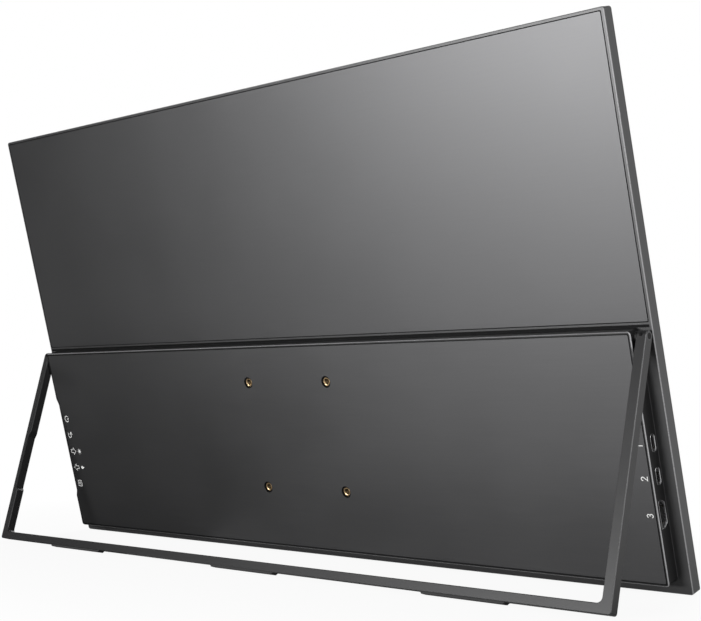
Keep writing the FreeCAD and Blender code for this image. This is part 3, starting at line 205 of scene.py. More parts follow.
# Screen: colours of border and picture area, gloss, sparkle and haze of its coat, and the border's width
GLASS_COLOURS = ((0.0025, 0.0025, 0.003), (0.006, 0.0065, 0.008))
GLASS_ROUGHNESS = 0.24
GLASS_SPECULAR = 0.32
SPARKLE_SIZE = 0.08 * MM
SPARKLE_SWING = 0.06
GLASS_HAZE_SIZE = 90 * MM
GLASS_HAZE_SWING = 0.05
GLASS_BREAK_SHARE = 0.3
GLASS_RELIEF = 0.0012 * MM
GLASS_BORDER = 3.0 * MM

# Boards and ribbons: colours, roughness, pattern of the tracks, conductors and height of the relief
BOARD_COLOURS = ((0.010, 0.085, 0.030), (0.020, 0.150, 0.055))
BOARD_ROUGHNESS = 0.30
BOARD_SWING = 0.08
TRACK_SCALE = 900.0
TRACK_LAYOUT = {"offset": 0.37, "squash": 0.6}
TRACK_GAP = 0.12
TRACK_GREY = (0.6, 0.6, 0.6, 1.0)
TRACK_RELIEF = 0.02 * MM
RIBBON_COLOURS = ((0.62, 0.61, 0.57), (0.80, 0.79, 0.74))
RIBBON_ROUGHNESS = 0.42
RIBBON_SWING = 0.10
CONDUCTOR_PITCH = 1.0 * MM
CONDUCTOR_SHARE = 0.5

# Hinge caps: shades of face and rim, the rim's lighter one a painted highlight, gloss, start of the rim as a share
# of the radius, and grain
CAP_FACE_AND_HIGHLIGHT_SHADES = (0.004, 0.16)
CAP_ROUGHNESS = 0.5
CAP_SPECULAR = 0.15
CAP_RIM_SHARE = 0.82
CAP_GRAIN = 0.2 * MM
CAP_SWING = 0.1
CAP_BREAK_SHARE = 0.4
CAP_RELIEF = 0.008 * MM

# Printing ink: colours, roughness and specks
INK_COLOURS = ((0.60, 0.60, 0.59), (0.74, 0.74, 0.73))
INK_ROUGHNESS = 0.55
INK_SPECK = 0.12 * MM
INK_SWING = 0.1

# Blue of a neutral grey, as a share of its red and green
COOL_SHARE = 1.02

# Corners of the new pieces sharper than this are left sharp, and the rest shaded round
SHARP_ANGLE = math.radians(32)

# Corner radius of a fully round slot, as a share of its half width
SLOT_ROUND_SHARE = 0.97

# Points round a corner, steps of a rounded edge, and points once round a turned piece
CORNER_POINTS = 9
ROUND_STEPS = 6
TURN_POINTS = 48

# Distance and digits within which points of a CAD node count as on one level
LEVEL_TOLERANCE = 0.05 * MM
LEVEL_DIGITS = 5

# Printed signs: the ink's stroke and thickness, sizes, and distances in from the plate's edges
INK_WIDTH = 0.55 * MM
INK_THICKNESS = 0.03 * MM
SIGN_SIZE = 5.2 * MM
ARROW_SIZE = 6.4 * MM
SIGN_INSET = 5.6 * MM
SIGN_STEP = 8.0 * MM
NUMBER_SIZE = 3.8 * MM
NUMBER_INSET = 3.4 * MM

# Sharpest turn of a stroke that keeps its full width, as the cosine of half the turn
MITRE_COSINE = 0.5

# Signs: sizes and strokes as shares of the plain ones, and points as shares of half a sign's size
SUN_SHARE = 0.8
DROP_SHARE = 0.75
ARROW_INK_SHARE = 0.85
RAY_INK_SHARE = 0.8
POWER_BAR_SHARES = ((0.0, 0.25), (0.0, 1.0))
BACK_BEND_SHARES = (0.1, -0.1)
BACK_RADIUS_SHARE = 0.55
BACK_START_SHARES = (-0.7, 0.45)
BACK_END_SHARES = (-0.5, -0.65)
BACK_HEAD_SHARES = ((-0.25, 0.9), (-0.75, 0.45), (-0.25, 0.0))
ARROW_SHARES = ((0.0, 1.0), (0.85, 0.05), (0.38, 0.05), (0.38, -0.9),
                (-0.38, -0.9), (-0.38, 0.05), (-0.85, 0.05))
MENU_BEND_SHARE = 0.35
MENU_LINE_SHARE = 0.45
MENU_LEVEL_SHARE = 0.33
SUN_DISC_SHARE = 0.56
SUN_RAY_SHARES = (0.8, 1.0)
DROP_BULB_SHARE = 0.64
DROP_DOWN_SHARE = 0.32
ONE_SHARES = ((-0.45, 0.55), (0.0, 1.0), (0.0, -1.0))
TWO_BOW_SHARE = 0.5
TWO_FOOT_SHARES = ((-0.5, -1.0), (0.55, -1.0))
THREE_UPPER_SHARES = (0.5, 0.46)
THREE_LOWER_SHARES = (-0.47, 0.51)

# Ports from the top down
PORTS = ("small_port_upper", "small_port_lower", "wide_port")

# Port contacts: thickness, numbers, and shares of the pitch and the tongue that they take up
CONTACT_THICKNESS = 0.04 * MM
SMALL_CONTACTS = 12
WIDE_CONTACTS = 10
CONTACT_ROW_SHARE = 0.9
CONTACT_SHARE = 0.5
CONTACT_START_SHARE = 0.06
CONTACT_LENGTH_SHARE = 0.85
CONTACT_TIP_SHARE = 0.4
CONTACT_ROOT_SHARE = 0.6

# Collars round the ports: room round the shells, steps of growth and rise, and the wide port's shape
PORT_ROOM = 0.15 * MM
COLLAR_STEPS = ((0.42 * MM, -0.03 * MM), (0.42 * MM, 0.08 * MM), (0.34 * MM, 0.14 * MM),
                (-0.03 * MM, -0.02 * MM), (-0.03 * MM, -0.15 * MM))
WIDE_NARROW_SHARE = 0.72
WIDE_SHOULDER_SHARE = 0.505

# Brass inserts
INSERT_RADIUS = 3.0 * MM
BORE_RADIUS = 1.65 * MM
BORE_RINGS = 72
WAIST_STEP = 0.6 * MM
WAIST_DEPTH = 0.4 * MM
THREAD_PITCH = 0.7 * MM
THREAD_DEPTH = 0.36 * MM
RIM_CHAMFER = 0.3 * MM
KNURL_DEPTH = 0.02 * MM
KNURL_COUNT = 24

# Rubber pads, with the shares of the foot's half width at which its inner rings run
PAD_ROUND = 0.45 * MM
PAD_CORNER = 0.3 * MM
PAD_RIB_PITCH = 1.6 * MM
PAD_RIB_DEPTH = 0.16 * MM
PAD_FACE_SHARES = (0.85, 0.5, 0.2)
PAD_POINTS = 300

# Button caps, with the shares of the face's half width at which the rings of its dish run
BUTTON_ROUND = 0.35 * MM
BUTTON_DISH = 0.12 * MM
DISH_SHARES = (0.8, 0.6, 0.4, 0.2, 0.05)
STEM_FLAT = 0.01 * MM
CAP_POINTS = 12

# Set screws, as shares of their radius and length
SOCKET_SHARE = 0.5
SOCKET_DEPTH_SHARE = 0.4
SCREW_EDGE_SHARE = 0.15


class Axes:
    """Upright axes of a body at rest: across, back and up, from an origin in the shared frame."""

    def __init__(self, back, origin):
        across = np.array((1.0, 0.0, 0.0))
        back = np.array(back)
        self.turn = np.stack((across, back, np.cross(across, back)))
        self.origin = np.array(origin)

    def to_shared(self, points):
        """Points of these axes in the shared frame."""
        return np.asarray(points) @ self.turn + self.origin

    def from_shared(self, points):
        """Points of the shared frame in these axes."""
        return (points - self.origin) @ self.turn.T

    def points(self, node):
        """Corners of a CAD node's mesh in these axes."""
        mesh = frame["nodes"][node].data
        flat = np.empty(len(mesh.vertices) * 3, np.float32)
        mesh.vertices.foreach_get("co", flat)
        return self.from_shared(flat.reshape(-1, 3).astype(float))

    def reach(self, node):
        """Lowest and highest corner of a CAD node in these axes."""
        points = self.points(node)
        return points.min(0), points.max(0)


def monitor_axes():
    """Axes of the slab, from the direction of its mounting face."""
    seat = {mount["name"]: mount for mount in frame["record"]["mounts"]}["mount_seat"]
    axes = Axes(seat["axis"], (0.0, 0.0, 0.0))
    back = axes.reach("upper_back_plate")[1][1]
    bottom = axes.reach("rear_housing")[0][2]
    axes.origin = axes.to_shared((0.0, back, bottom))
    return axes


def stand_axes(monitor):
    """Axes of the stand: the monitor's, swung open about the hinge."""
    hinge = {joint["name"]: joint for joint in frame["joints"]}["stand_hinge"]
    swung = -math.radians(hinge["range_deg"][0])
    back = math.cos(swung) * monitor.turn[1] + math.sin(swung) * monitor.turn[2]
    return Axes(back, hinge["pos_m"])


MONITOR = monitor_axes()
STAND = stand_axes(MONITOR)


class Value:
    """A shader socket with arithmetic: an expression on values adds its Math nodes."""

    def __init__(self, tree, socket):
        self.tree = tree
        self.socket = socket

    def math(self, operation, *terms):
        """Result of one Math node on the terms."""
        return self.tree.node("ShaderNodeMath", {"operation": operation}, dict(enumerate(terms)))

    def __add__(self, other):
        return self.math("ADD", self, other)

    def __sub__(self, other):
        return self.math("SUBTRACT", self, other)

    def __rsub__(self, other):
        return self.math("SUBTRACT", other, self)

    def __mul__(self, other):
        return self.math("MULTIPLY", self, other)

    def __truediv__(self, other):
        return self.math("DIVIDE", self, other)

    def __rtruediv__(self, other):
        return self.math("DIVIDE", other, self)

    def __gt__(self, other):
        return self.math("GREATER_THAN", self, other)

    def __lt__(self, other):
        return self.math("LESS_THAN", self, other)

    def __abs__(self):
        return self.math("ABSOLUTE", self)

    def most(self, other):
        """The larger of two values."""
        return self.math("MAXIMUM", self, other)

    def least(self, other):
        """The smaller of two values."""
        return self.math("MINIMUM", self, other)

    def fraction(self):
        """What is left above the whole number."""
        return self.math("FRACT", self)

    __radd__ = __add__
    __rmul__ = __mul__


class Tree:
    """A node tree and the one method that adds nodes to it."""

    def __init__(self, owner):
        owner.use_nodes = True
        self.owner = owner
        self.nodes = owner.node_tree.nodes
        self.links = owner.node_tree.links

    def node(self, kind, settings=None, sockets=None, output=0):
        """Adds a node: settings first, then the values or links of its sockets."""
        made = self.nodes.new(kind)
        for key, value in (settings or {}).items():
            setattr(made, key, value)
        self.feed(made, sockets or {})
        return Value(self, made.outputs[output])

    def feed(self, made, sockets):
        """Sets or links the sockets of a node."""
        for key, value in sockets.items():
            if isinstance(value, Value):
                self.links.new(value.socket, made.inputs[key])
            else:
                made.inputs[key].default_value = value


class Finish(Tree):
    """A material of the object, with the patterns that several finishes share."""

    def __init__(self, name, axes=None):
        super().__init__(bpy.data.materials.new(name))
        axes = axes or MONITOR
        self.shader = self.nodes["Principled BSDF"]
        self.back = tuple(axes.turn[1])
        lean = math.atan2(axes.turn[2][1], axes.turn[2][2])
        shared = self.node("ShaderNodeTexCoord", output="Object")
        start = tuple(float(part) for part in axes.origin)
        moved = self.node("ShaderNodeVectorMath", {"operation": "SUBTRACT"}, {0: shared, 1: start})
        turned = {"Vector": moved, "Rotation": (lean, 0.0, 0.0)}
        self.place = self.node("ShaderNodeMapping", sockets=turned)

    def along(self, axis):
        """One upright coordinate, by its number."""
        return self.node("ShaderNodeSeparateXYZ", sockets={0: self.place}, output=axis)

    def facing(self):
        """How squarely a face looks to the back or the front: 1 square on, 0 edge on."""
        normal = self.node("ShaderNodeTexCoord", output="Normal")
        turned = self.node("ShaderNodeVectorMath", {"operation": "DOT_PRODUCT"}, {0: normal, 1: self.back},
                           output="Value")
        return abs(turned)

    def noise(self, size, detail=2.0, stretch=(1.0, 1.0, 1.0)):
        """Soft random pattern with features of a size, drawn out along the axes."""
        scale = tuple(1.0 / (size * share) for share in stretch)
        placed = self.node("ShaderNodeMapping", sockets={"Vector": self.place, "Scale": scale})
        return self.node("ShaderNodeTexNoise", sockets={"Vector": placed, "Scale": 1.0, "Detail": detail})

    def tint(self, mask, first, second):
        """Colour that goes from the first to the second as the mask goes from 0 to 1."""
        ends = [end if isinstance(end, Value) else (*end, 1.0) for end in (first, second)]
        sockets = {0: mask, 6: ends[0], 7: ends[1]}
        return self.node("ShaderNodeMix", {"data_type": "RGBA"}, sockets, output=2)

    def relief(self, height, depth):
        """Bumped normal from a height pattern, depth being its full relief."""
        return self.node("ShaderNodeBump", sockets={"Height": height, "Distance": depth})

    def surface(self, **sockets):
        """Sets the surface shader's sockets, words joined by underscores, and gives the material."""
        names = {socket.name.lower().replace(" ", "_"): socket.name for socket in self.shader.inputs}
        self.feed(self.shader, {names[key]: value for key, value in sockets.items()})
        return self.owner


def shade(level):
    """Neutral grey as a colour, a trace cooler than even."""
    return (level, level, level * COOL_SHARE)


def swing(pattern, amount):
    """Change of up to half the amount either way, as the pattern goes from 0 to 1."""
    return amount * (pattern - 0.5)


def broken(mask, pattern, share):
    """Mask that loses up to a share of itself where the pattern is low."""
    return mask * (1.0 - share + share * pattern)


def mixed(first, second, share=0.5):
    """A share of the first pattern, and the second for the rest."""
    return first * share + second * (1.0 - share)


def moulded(name, level, roughness, grain, depth):
    """Moulded plastic or rubber: an eroded grain, cloudy gloss and slightly paler worn spots."""
    made = Finish(name)
    fine = made.noise(grain, FINE_DETAIL)
    cloud = made.noise(CLOUD_SIZE)
    ends = shade(level / WORN_SHARE), shade(level * WORN_SHARE)
    return made.surface(base_color=made.tint(mixed(cloud, fine, CLOUD_SHARE), *ends),
                        roughness=roughness + swing(cloud, CLOUD_SWING) + swing(fine, GRAIN_SWING),
                        normal=made.relief(fine, depth))


def sunk_faces(made):
    """1 on the floors of the recesses round the inset plates and of the channel between them."""
    upper_low, upper_high = MONITOR.reach("upper_back_plate")
    lower_low, lower_high = MONITOR.reach("lower_back_plate")
    depth = made.along(1)
    slab_floor = depth < (upper_low[1] + upper_high[1]) / 2
    box_floor = (depth < (lower_low[1] + lower_high[1]) / 2) * (depth > 2 * lower_low[1] - lower_high[1])
    return (made.facing() > SQUARE_ON) * slab_floor.most(box_floor)


def satin_metal(name, shades, roughness, metal=1.0, cut=None, axes=None, recess_shade=None, foot=None):
    """Dark satin metal, lacquered where not all of it is bare: blasted grain over faint rolling lines
    and handling haze. Given shades set off its chamfers, at half a right angle to the back, as
    smoother cut edges lightened partly as a painted highlight, paint shade on the floors of its
    recesses, and paint a highlight line along the foot of its walls."""
    made = Finish(name, axes)
    grain = made.noise(BLAST_SIZE)
    rolled = made.noise(ROLLING_SIZE, stretch=ROLLING_STRETCH)
    haze = made.noise(HAZE_SIZE, FINE_DETAIL)
    tone = grain * BLAST_SHARE + rolled * ROLLING_SHARE + haze * HAZE_SHARE
    colour = made.tint(tone, *(shade(level) for level in shades))
    rough = roughness + swing(haze, SATIN_SWING) + swing(rolled, SATIN_SWING)
    # Chamfers lighter: bright cut edges, and partly a painted highlight
    if cut:
        edge = abs(made.facing() - math.sqrt(0.5)) < CUT_TOLERANCE
        colour = made.tint(broken(edge, haze, EDGE_BREAK_SHARE), colour, shade(cut))
        rough = rough - CUT_SWING * edge
    # Painted highlight: a lighter line along the foot of the walls
    if foot:
        foot_highlight = made.along(1) < FOOT_HIGHLIGHT_HEIGHT
        colour = made.tint(broken(foot_highlight, haze, EDGE_BREAK_SHARE), colour, shade(foot))
    # Painted shade: the floors of the recesses darker, and all metal there so that the lacquer's reflection is
    # taken away too
    if recess_shade:
        floors = sunk_faces(made)
        colour = made.tint(broken(floors, grain, SUNK_BREAK_SHARE), colour, shade(recess_shade))
        rough = rough + SUNK_SWING * floors
        metal = metal + (1.0 - metal) * floors
    return made.surface(base_color=colour, roughness=rough, metallic=metal,
                        normal=made.relief(mixed(grain, rolled, BLAST_RELIEF_SHARE), SATIN_RELIEF))


def plated(name, colour, roughness):
    """Plated sheet or turned metal: fine drawn lines, and a faint darker stain."""
    made = Finish(name)
    lines = made.noise(DRAWN_SIZE, stretch=DRAWN_STRETCH)
    cloud = made.noise(STAIN_SIZE, FINE_DETAIL)
    dark = tuple(STAIN_SHARE * part for part in colour)
    return made.surface(base_color=made.tint(mixed(cloud, lines), dark, colour), metallic=1.0,
                        roughness=roughness + swing(cloud, STAIN_SWING),
                        normal=made.relief(lines, FINE_RELIEF))


def turned_brass():
    """Brass turned round the inserts' axes: fine rings, and a painted dark shade down in the bores."""
    made = Finish("turned_brass")
    back = MONITOR.reach("mount_inserts")[1][1]
    cloud = made.noise(BRASS_CLOUD_SIZE, FINE_DETAIL)
    rings = made.noise(RING_SIZE, stretch=RING_STRETCH)
    bore = made.along(1) < back - RIM_CHAMFER
    colour = made.tint(mixed(cloud, rings), *BRASS_COLOURS)
    # Painted shade: darker down in the bores
    return made.surface(base_color=made.tint(bore * BORE_SHADE_SHARE, colour, BORE_SHADE_COLOUR), metallic=1.0,
                        roughness=BRASS_ROUGHNESS + swing(cloud, STAIN_SWING),
                        normal=made.relief(rings, FINE_RELIEF))


def screen_glass():
    """Screen front: anti-glare haze over the dark picture area, blacker in the borders at its sides."""
    made = Finish("screen_glass")
    low, high = MONITOR.reach("panel_middle_frame")
    sparkle = made.noise(SPARKLE_SIZE)
    haze = made.noise(GLASS_HAZE_SIZE)
    across = abs(made.along(0)) < (high[0] - low[0]) / 2 - GLASS_BORDER
    rough = GLASS_ROUGHNESS + swing(haze, GLASS_HAZE_SWING) + swing(sparkle, SPARKLE_SWING)
    return made.surface(base_color=made.tint(broken(across, haze, GLASS_BREAK_SHARE), *GLASS_COLOURS),
                        roughness=rough, specular_ior_level=GLASS_SPECULAR,
                        normal=made.relief(sparkle, GLASS_RELIEF))


def circuit_board():
    """Green solder mask over copper tracks."""
    made = Finish("board_green")
    tracks = made.node("ShaderNodeTexBrick", TRACK_LAYOUT,
                       {"Vector": made.place, "Scale": TRACK_SCALE, "Mortar Size": TRACK_GAP,
                        "Color1": WHITE, "Color2": TRACK_GREY}, output=1)
    return made.surface(base_color=made.tint(tracks, *BOARD_COLOURS),
                        roughness=BOARD_ROUGHNESS + BOARD_SWING * tracks,
                        normal=made.relief(tracks, TRACK_RELIEF))


def flat_ribbon():
    """Pale film with fine conductors along it."""
    made = Finish("ribbon_film")
    stripe = ((made.along(0) + made.along(2)) * (1.0 / CONDUCTOR_PITCH)).fraction() > CONDUCTOR_SHARE
    return made.surface(base_color=made.tint(stripe, *RIBBON_COLOURS),
                        roughness=RIBBON_ROUGHNESS + RIBBON_SWING * stripe,
                        normal=made.relief(stripe, TRACK_RELIEF))


def pale_sheet(name, colour, roughness, **more):
    """White or clear film of the backlight, with a faint dot pattern."""
    made = Finish(name)
    dots = made.node("ShaderNodeTexVoronoi", sockets={"Vector": made.place, "Scale": DOT_SCALE})
    dim = tuple(DOT_SHADE_SHARE * part for part in colour)
    return made.surface(base_color=made.tint(dots, colour, dim), roughness=roughness + DOT_SWING * dots,
                        **more)


def sign_ink():
    """White printing ink with a slightly broken, matt surface."""
    made = Finish("sign_ink")
    speck = made.noise(INK_SPECK, FINE_DETAIL)
    return made.surface(base_color=made.tint(speck, *INK_COLOURS),
                        roughness=INK_ROUGHNESS + INK_SWING * speck,
                        normal=made.relief(speck, FINE_RELIEF))


def dark_hinge_cap():
    """Hinge cap: matt black with a fine grain and a lighter grey rim painted as a highlight."""
    made = Finish("dark_hinge_cap", STAND)
    low, high = STAND.reach("hinge_cap_left")
    y, z = made.along(1), made.along(2)
    rim = y * y + z * z > ((high[2] - low[2]) / 2 * CAP_RIM_SHARE) ** 2
    fine = made.noise(CAP_GRAIN, FINE_DETAIL)
    # Painted highlight: the rim lighter grey
    colour = made.tint(broken(rim, fine, CAP_BREAK_SHARE), *(shade(level) for level in CAP_FACE_AND_HIGHLIGHT_SHADES))
    return made.surface(base_color=colour, roughness=CAP_ROUGHNESS + CAP_SWING * fine,
                        specular_ior_level=CAP_SPECULAR, normal=made.relief(fine, CAP_RELIEF))


def finishes():
    """Materials by the slots that the record names, and a few more for pieces that need their own."""
    made = {}
    for recipe, looks in ((moulded, MOULDED), (plated, PLATED), (pale_sheet, PALE_SHEETS)):
        made.update((name, recipe(name, **look)) for name, look in looks.items())
    made["screen_glass"] = screen_glass()
    made["board_green"] = circuit_board()
    made["ribbon_film"] = flat_ribbon()
    made["insert_brass"] = turned_brass()
    made["sign_ink"] = sign_ink()
    made["dark_hinge_cap"] = dark_hinge_cap()
    made["back_plate"] = satin_metal("satin_back_plate", PLATE_SHADES, PLATE_ROUGHNESS)
    made["housing_plastic"] = satin_metal("housing_lacquer", HOUSING_SHADES, HOUSING_ROUGHNESS,
                                          HOUSING_METAL_SHARE, HOUSING_CUT_AND_HIGHLIGHT_SHADE, recess_shade=RECESS_PAINTED_SHADE)
    made["cover_lacquer"] = satin_metal("cover_lacquer", COVER_SHADES, HOUSING_ROUGHNESS,
                                        HOUSING_METAL_SHARE, COVER_CUT_AND_HIGHLIGHT_SHADE, recess_shade=RECESS_PAINTED_SHADE,
                                        foot=FOOT_HIGHLIGHT_SHADE)
    made["stand_metal"] = satin_metal("satin_stand", STAND_SHADES, STAND_ROUGHNESS,
                                      STAND_METAL_SHARE, STAND_CUT_AND_HIGHLIGHT_SHADE, STAND)
    return made


FINISHES = finishes()


def dress_nodes():
    """Gives each CAD node the finish of its slot, and the hinge caps and the electronics cover darker
    ones of their own."""
    darker = {"hinge_cap_left": "dark_hinge_cap", "hinge_cap_right": "dark_hinge_cap",
              "electronics_cover": "cover_lacquer"}
    for subpart in frame["record"]["subparts"]:
        node = subpart["node"]
        for slot in frame["nodes"][node].material_slots:
            slot.material = FINISHES[darker.get(node, subpart["material_slot"])]


def add(name, data):
    """New object of the scene."""
    made = bpy.data.objects.new(name, data)
    bpy.context.scene.collection.objects.link(made)
    return made


def skin(rings, closed=False):
    """Mesh through a stack of rings: point j of ring i joins its neighbours on its own ring and on
    the next one. An open stack is capped at both ends, and a closed one joins last to first."""
    count, around = rings.shape[:2]
    row = np.arange(count if closed else count - 1)[:, None]
    column = np.arange(around)[None, :]
    here = row * around
    there = (row + 1) % count * around
    beside = (column + 1) % around
    quads = np.stack((here + column, here + beside, there + beside, there + column), -1)
    faces = quads.reshape(-1, 4).tolist()
    if not closed:
        faces.append(list(range(around - 1, -1, -1)))
        faces.append(list(range((count - 1) * around, count * around)))
    return rings.reshape(-1, 3), faces


def piece(name, body, material, shapes, axes):
    """One object from several skins, set in its place, turned outwards and carried by its body."""
    points = []
    faces = []
    start = 0
    for corners, loops in shapes:
        points.append(axes.to_shared(corners))
        faces += [[start + corner for corner in loop] for loop in loops]
        start += len(corners)
    mesh = bpy.data.meshes.new(name)
    mesh.from_pydata(np.concatenate(points), [], faces)
    shell = bmesh.new()
    shell.from_mesh(mesh)
    bmesh.ops.recalc_face_normals(shell, faces=shell.faces)
    shell.to_mesh(mesh)
    shell.free()
    mesh.shade_smooth()
    mesh.set_sharp_from_angle(angle=SHARP_ANGLE)
    mesh.materials.append(material)
    made = add(name, mesh)
    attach(made, body)
    return made


def arc(middle, radius, start, end, count=24):
    """Points round part of a circle, angles in degrees."""
    angles = np.radians(np.linspace(start, end, count))
    return np.array(middle) + radius * np.stack((np.cos(angles), np.sin(angles)), -1)


def corner_arcs(flat_long, flat_short, bend, count=CORNER_POINTS):
    """Quarter circles at the four corners of a rectangle, one after the other round it."""
    return [arc((x * flat_long, y * flat_short), bend, start, start + 90, count)
            for x, y, start in ((1, 1, 0), (-1, 1, 90), (-1, -1, 180), (1, -1, 270))]


def outline(half_long, half_short, bend, count=2):
    """Rounded rectangle: quarter circles at the corners, and points spread along the long sides. Corners
    stay a little smaller than the half width, so that no two points fall together."""
    bend = min(bend, half_short * SLOT_ROUND_SHARE)
    flat_long = half_long - bend
    run = np.linspace(flat_long, -flat_long, count + 2)[1:-1]
    side = np.stack((run, np.full(count, half_short)), -1)
    first, second, third, fourth = corner_arcs(flat_long, half_short - bend, bend)
    return np.vstack((first, side, second, third, -side, fourth))


def stack(steps, count=2):
    """Rings from steps of half length, half width, corner radius and level: (along, across, level)."""
    rings = []
    for half_long, half_short, bend, level in steps:
        flat = outline(half_long, half_short, bend, count)
        rings.append(np.hstack((flat, np.full((len(flat), 1), level))))
    return np.stack(rings)


def quarter_round(radius):
    """Steps of an edge rounded by a quarter circle: how far in from the wall and short of the face."""
    turn = np.radians(np.linspace(0, 90, ROUND_STEPS))
    return zip(radius * (1 - np.cos(turn)), radius * (1 - np.sin(turn)))


def full_turn():
    """Angles once round a turned piece."""
    return np.linspace(0, 2 * np.pi, TURN_POINTS, endpoint=False)


def stroke(path, width, closed=False):
    """Bar of ink along a flat path: at each point a rectangle, half the width to each side of the
    path along its normal and the ink's thickness high. Open ends run on by half the width."""
    path = np.array(path, float)
    ahead = np.roll(path, -1, 0) - path
    behind = path - np.roll(path, 1, 0)
    if not closed:
        ahead[-1] = behind[-1]
        behind[0] = ahead[0]
    ahead /= np.linalg.norm(ahead, axis=1, keepdims=True)
    behind /= np.linalg.norm(behind, axis=1, keepdims=True)
    along = ahead + behind
    along /= np.linalg.norm(along, axis=1, keepdims=True)
    if not closed:
        path[0] -= along[0] * width / 2
        path[-1] += along[-1] * width / 2
    turn = np.clip(np.sum(along * ahead, 1), MITRE_COSINE, 1.0)[:, None]
    side = np.stack((-along[:, 1], along[:, 0]), -1) * width / 2 / turn
    low = np.zeros((len(path), 1))
    high = low + INK_THICKNESS
    left = path + side
    right = path - side
    corners = [np.hstack((left, low)), np.hstack((right, low)),
               np.hstack((right, high)), np.hstack((left, high))]
    return skin(np.stack(corners, 1), closed)


def filled(corners):
    """Flat patch of ink inside its corners, as thick as the ink."""
    flat = np.array(corners, float)
    low = np.zeros((len(flat), 1))
    return skin(np.stack((np.hstack((flat, low)), np.hstack((flat, low + INK_THICKNESS)))))


def on_plate(shapes, middle, right, up, level):
    """Signs drawn flat, to the right and up, laid on the lower plate at a middle in x and z."""
    laid = []
    for corners, faces in shapes:
        across = corners[:, :1] * np.array(right) + corners[:, 1:2] * np.array(up) + np.array(middle)
        laid.append((np.stack((across[:, 0], level + corners[:, 2], across[:, 1]), -1), faces))
    return laid


def power_sign(size):
    """Open ring with a bar in its gap."""
    radius = size / 2 - INK_WIDTH / 2
    return [stroke(arc((0, 0), radius, 130, 410, count=40), INK_WIDTH),
            stroke(radius * np.array(POWER_BAR_SHARES), INK_WIDTH)]


def back_sign(size):
    """Arrow that turns back: a half circle between two straight ends, and an open head."""
    half = size / 2
    bend = arc(BACK_BEND_SHARES, BACK_RADIUS_SHARE, 90, -90, count=20)
    path = np.vstack((BACK_START_SHARES, bend, BACK_END_SHARES))
    return [stroke(half * path, INK_WIDTH), stroke(half * np.array(BACK_HEAD_SHARES), INK_WIDTH)]


def arrow_sign(size, way):
    """Outlined arrow that points up or down."""
    half = size / 2
    return [stroke(np.array(ARROW_SHARES) * (half, half * way), INK_WIDTH * ARROW_INK_SHARE, True)]


def menu_sign(size):
    """Rounded frame with two lines in it."""
    half = size / 2 - INK_WIDTH / 2
    bend = half * MENU_BEND_SHARE
    rim = np.vstack(corner_arcs(half - bend, half - bend, bend, count=6))
    reach = half * MENU_LINE_SHARE
    lines = [stroke([(-reach, level), (reach, level)], INK_WIDTH)
             for level in (half * MENU_LEVEL_SHARE, -half * MENU_LEVEL_SHARE)]
    return [stroke(rim, INK_WIDTH, True)] + lines


def sun_sign(size):
    """Filled disc with short rays."""
    half = size / 2
    shapes = [filled(arc((0, 0), half * SUN_DISC_SHARE, 0, 345))]
    for turn in np.radians(np.arange(0, 360, 45)):
        ray = np.outer(SUN_RAY_SHARES, (math.cos(turn), math.sin(turn)))
        shapes.append(stroke(half * ray, INK_WIDTH * RAY_INK_SHARE))
    return shapes


def drop_sign(size):
    """Filled drop: a round bulb that runs up to a point."""
    half = size / 2
    bulb = arc((0, -half * DROP_DOWN_SHARE), half * DROP_BULB_SHARE, 150, 390, count=30)
    return [filled(np.vstack((bulb, (0, half))))]


def button_signs():
    """White signs beside the buttons, upright as seen from the side that the buttons are on."""
    plate = MONITOR.reach("lower_back_plate")[1][1]
    edge = MONITOR.reach("power_button")[1][0] - SIGN_INSET - SIGN_SIZE / 2
    right, up = (0.0, -1.0), (-1.0, 0.0)
    signs = {"power_button": power_sign(SIGN_SIZE), "back_button": back_sign(ARROW_SIZE),
             "up_button": arrow_sign(ARROW_SIZE, 1), "down_button": arrow_sign(ARROW_SIZE, -1),
             "menu_button": menu_sign(SIGN_SIZE)}
    beside = {"up_button": sun_sign(SIGN_SIZE * SUN_SHARE),
              "down_button": drop_sign(SIGN_SIZE * DROP_SHARE)}
    shapes = []
    for group, step in ((signs, 0.0), (beside, SIGN_STEP)):
        for node, drawn in group.items():
            low, high = MONITOR.reach(node)
            middle = (edge - step, (low[2] + high[2]) / 2)
            shapes += on_plate(drawn, middle, right, up, plate)
    piece("button_signs", "monitor", FINISHES["sign_ink"], shapes, MONITOR)


def digit(number, size):
    """Digit from 1 to 3: an angled line, a bow over a foot, or two bows."""
    if number == 1:
        path = np.array(ONE_SHARES)
    elif number == 2:
        path = np.vstack((arc((0.0, TWO_BOW_SHARE), TWO_BOW_SHARE, 170, -35, count=20), TWO_FOOT_SHARES))
    else:
        (upper, upper_radius), (lower, lower_radius) = THREE_UPPER_SHARES, THREE_LOWER_SHARES
        path = np.vstack((arc((0.0, upper), upper_radius, 150, -90, count=18),
                          arc((0.0, lower), lower_radius, 90, -150, count=20)))
    return [stroke(path * size / 2, INK_WIDTH)]


def port_numbers():
    """Numbers beside the ports."""
    plate_low, plate_high = MONITOR.reach("lower_back_plate")
    shapes = []
    for number, node in enumerate(PORTS, 1):
        low, high = MONITOR.reach(node)
        middle = (plate_low[0] + NUMBER_INSET, (low[2] + high[2]) / 2)
        shapes += on_plate(digit(number, NUMBER_SIZE), middle, (0.0, 1.0), (1.0, 0.0), plate_high[1])
    piece("port_numbers", "monitor", FINISHES["sign_ink"], shapes, MONITOR)


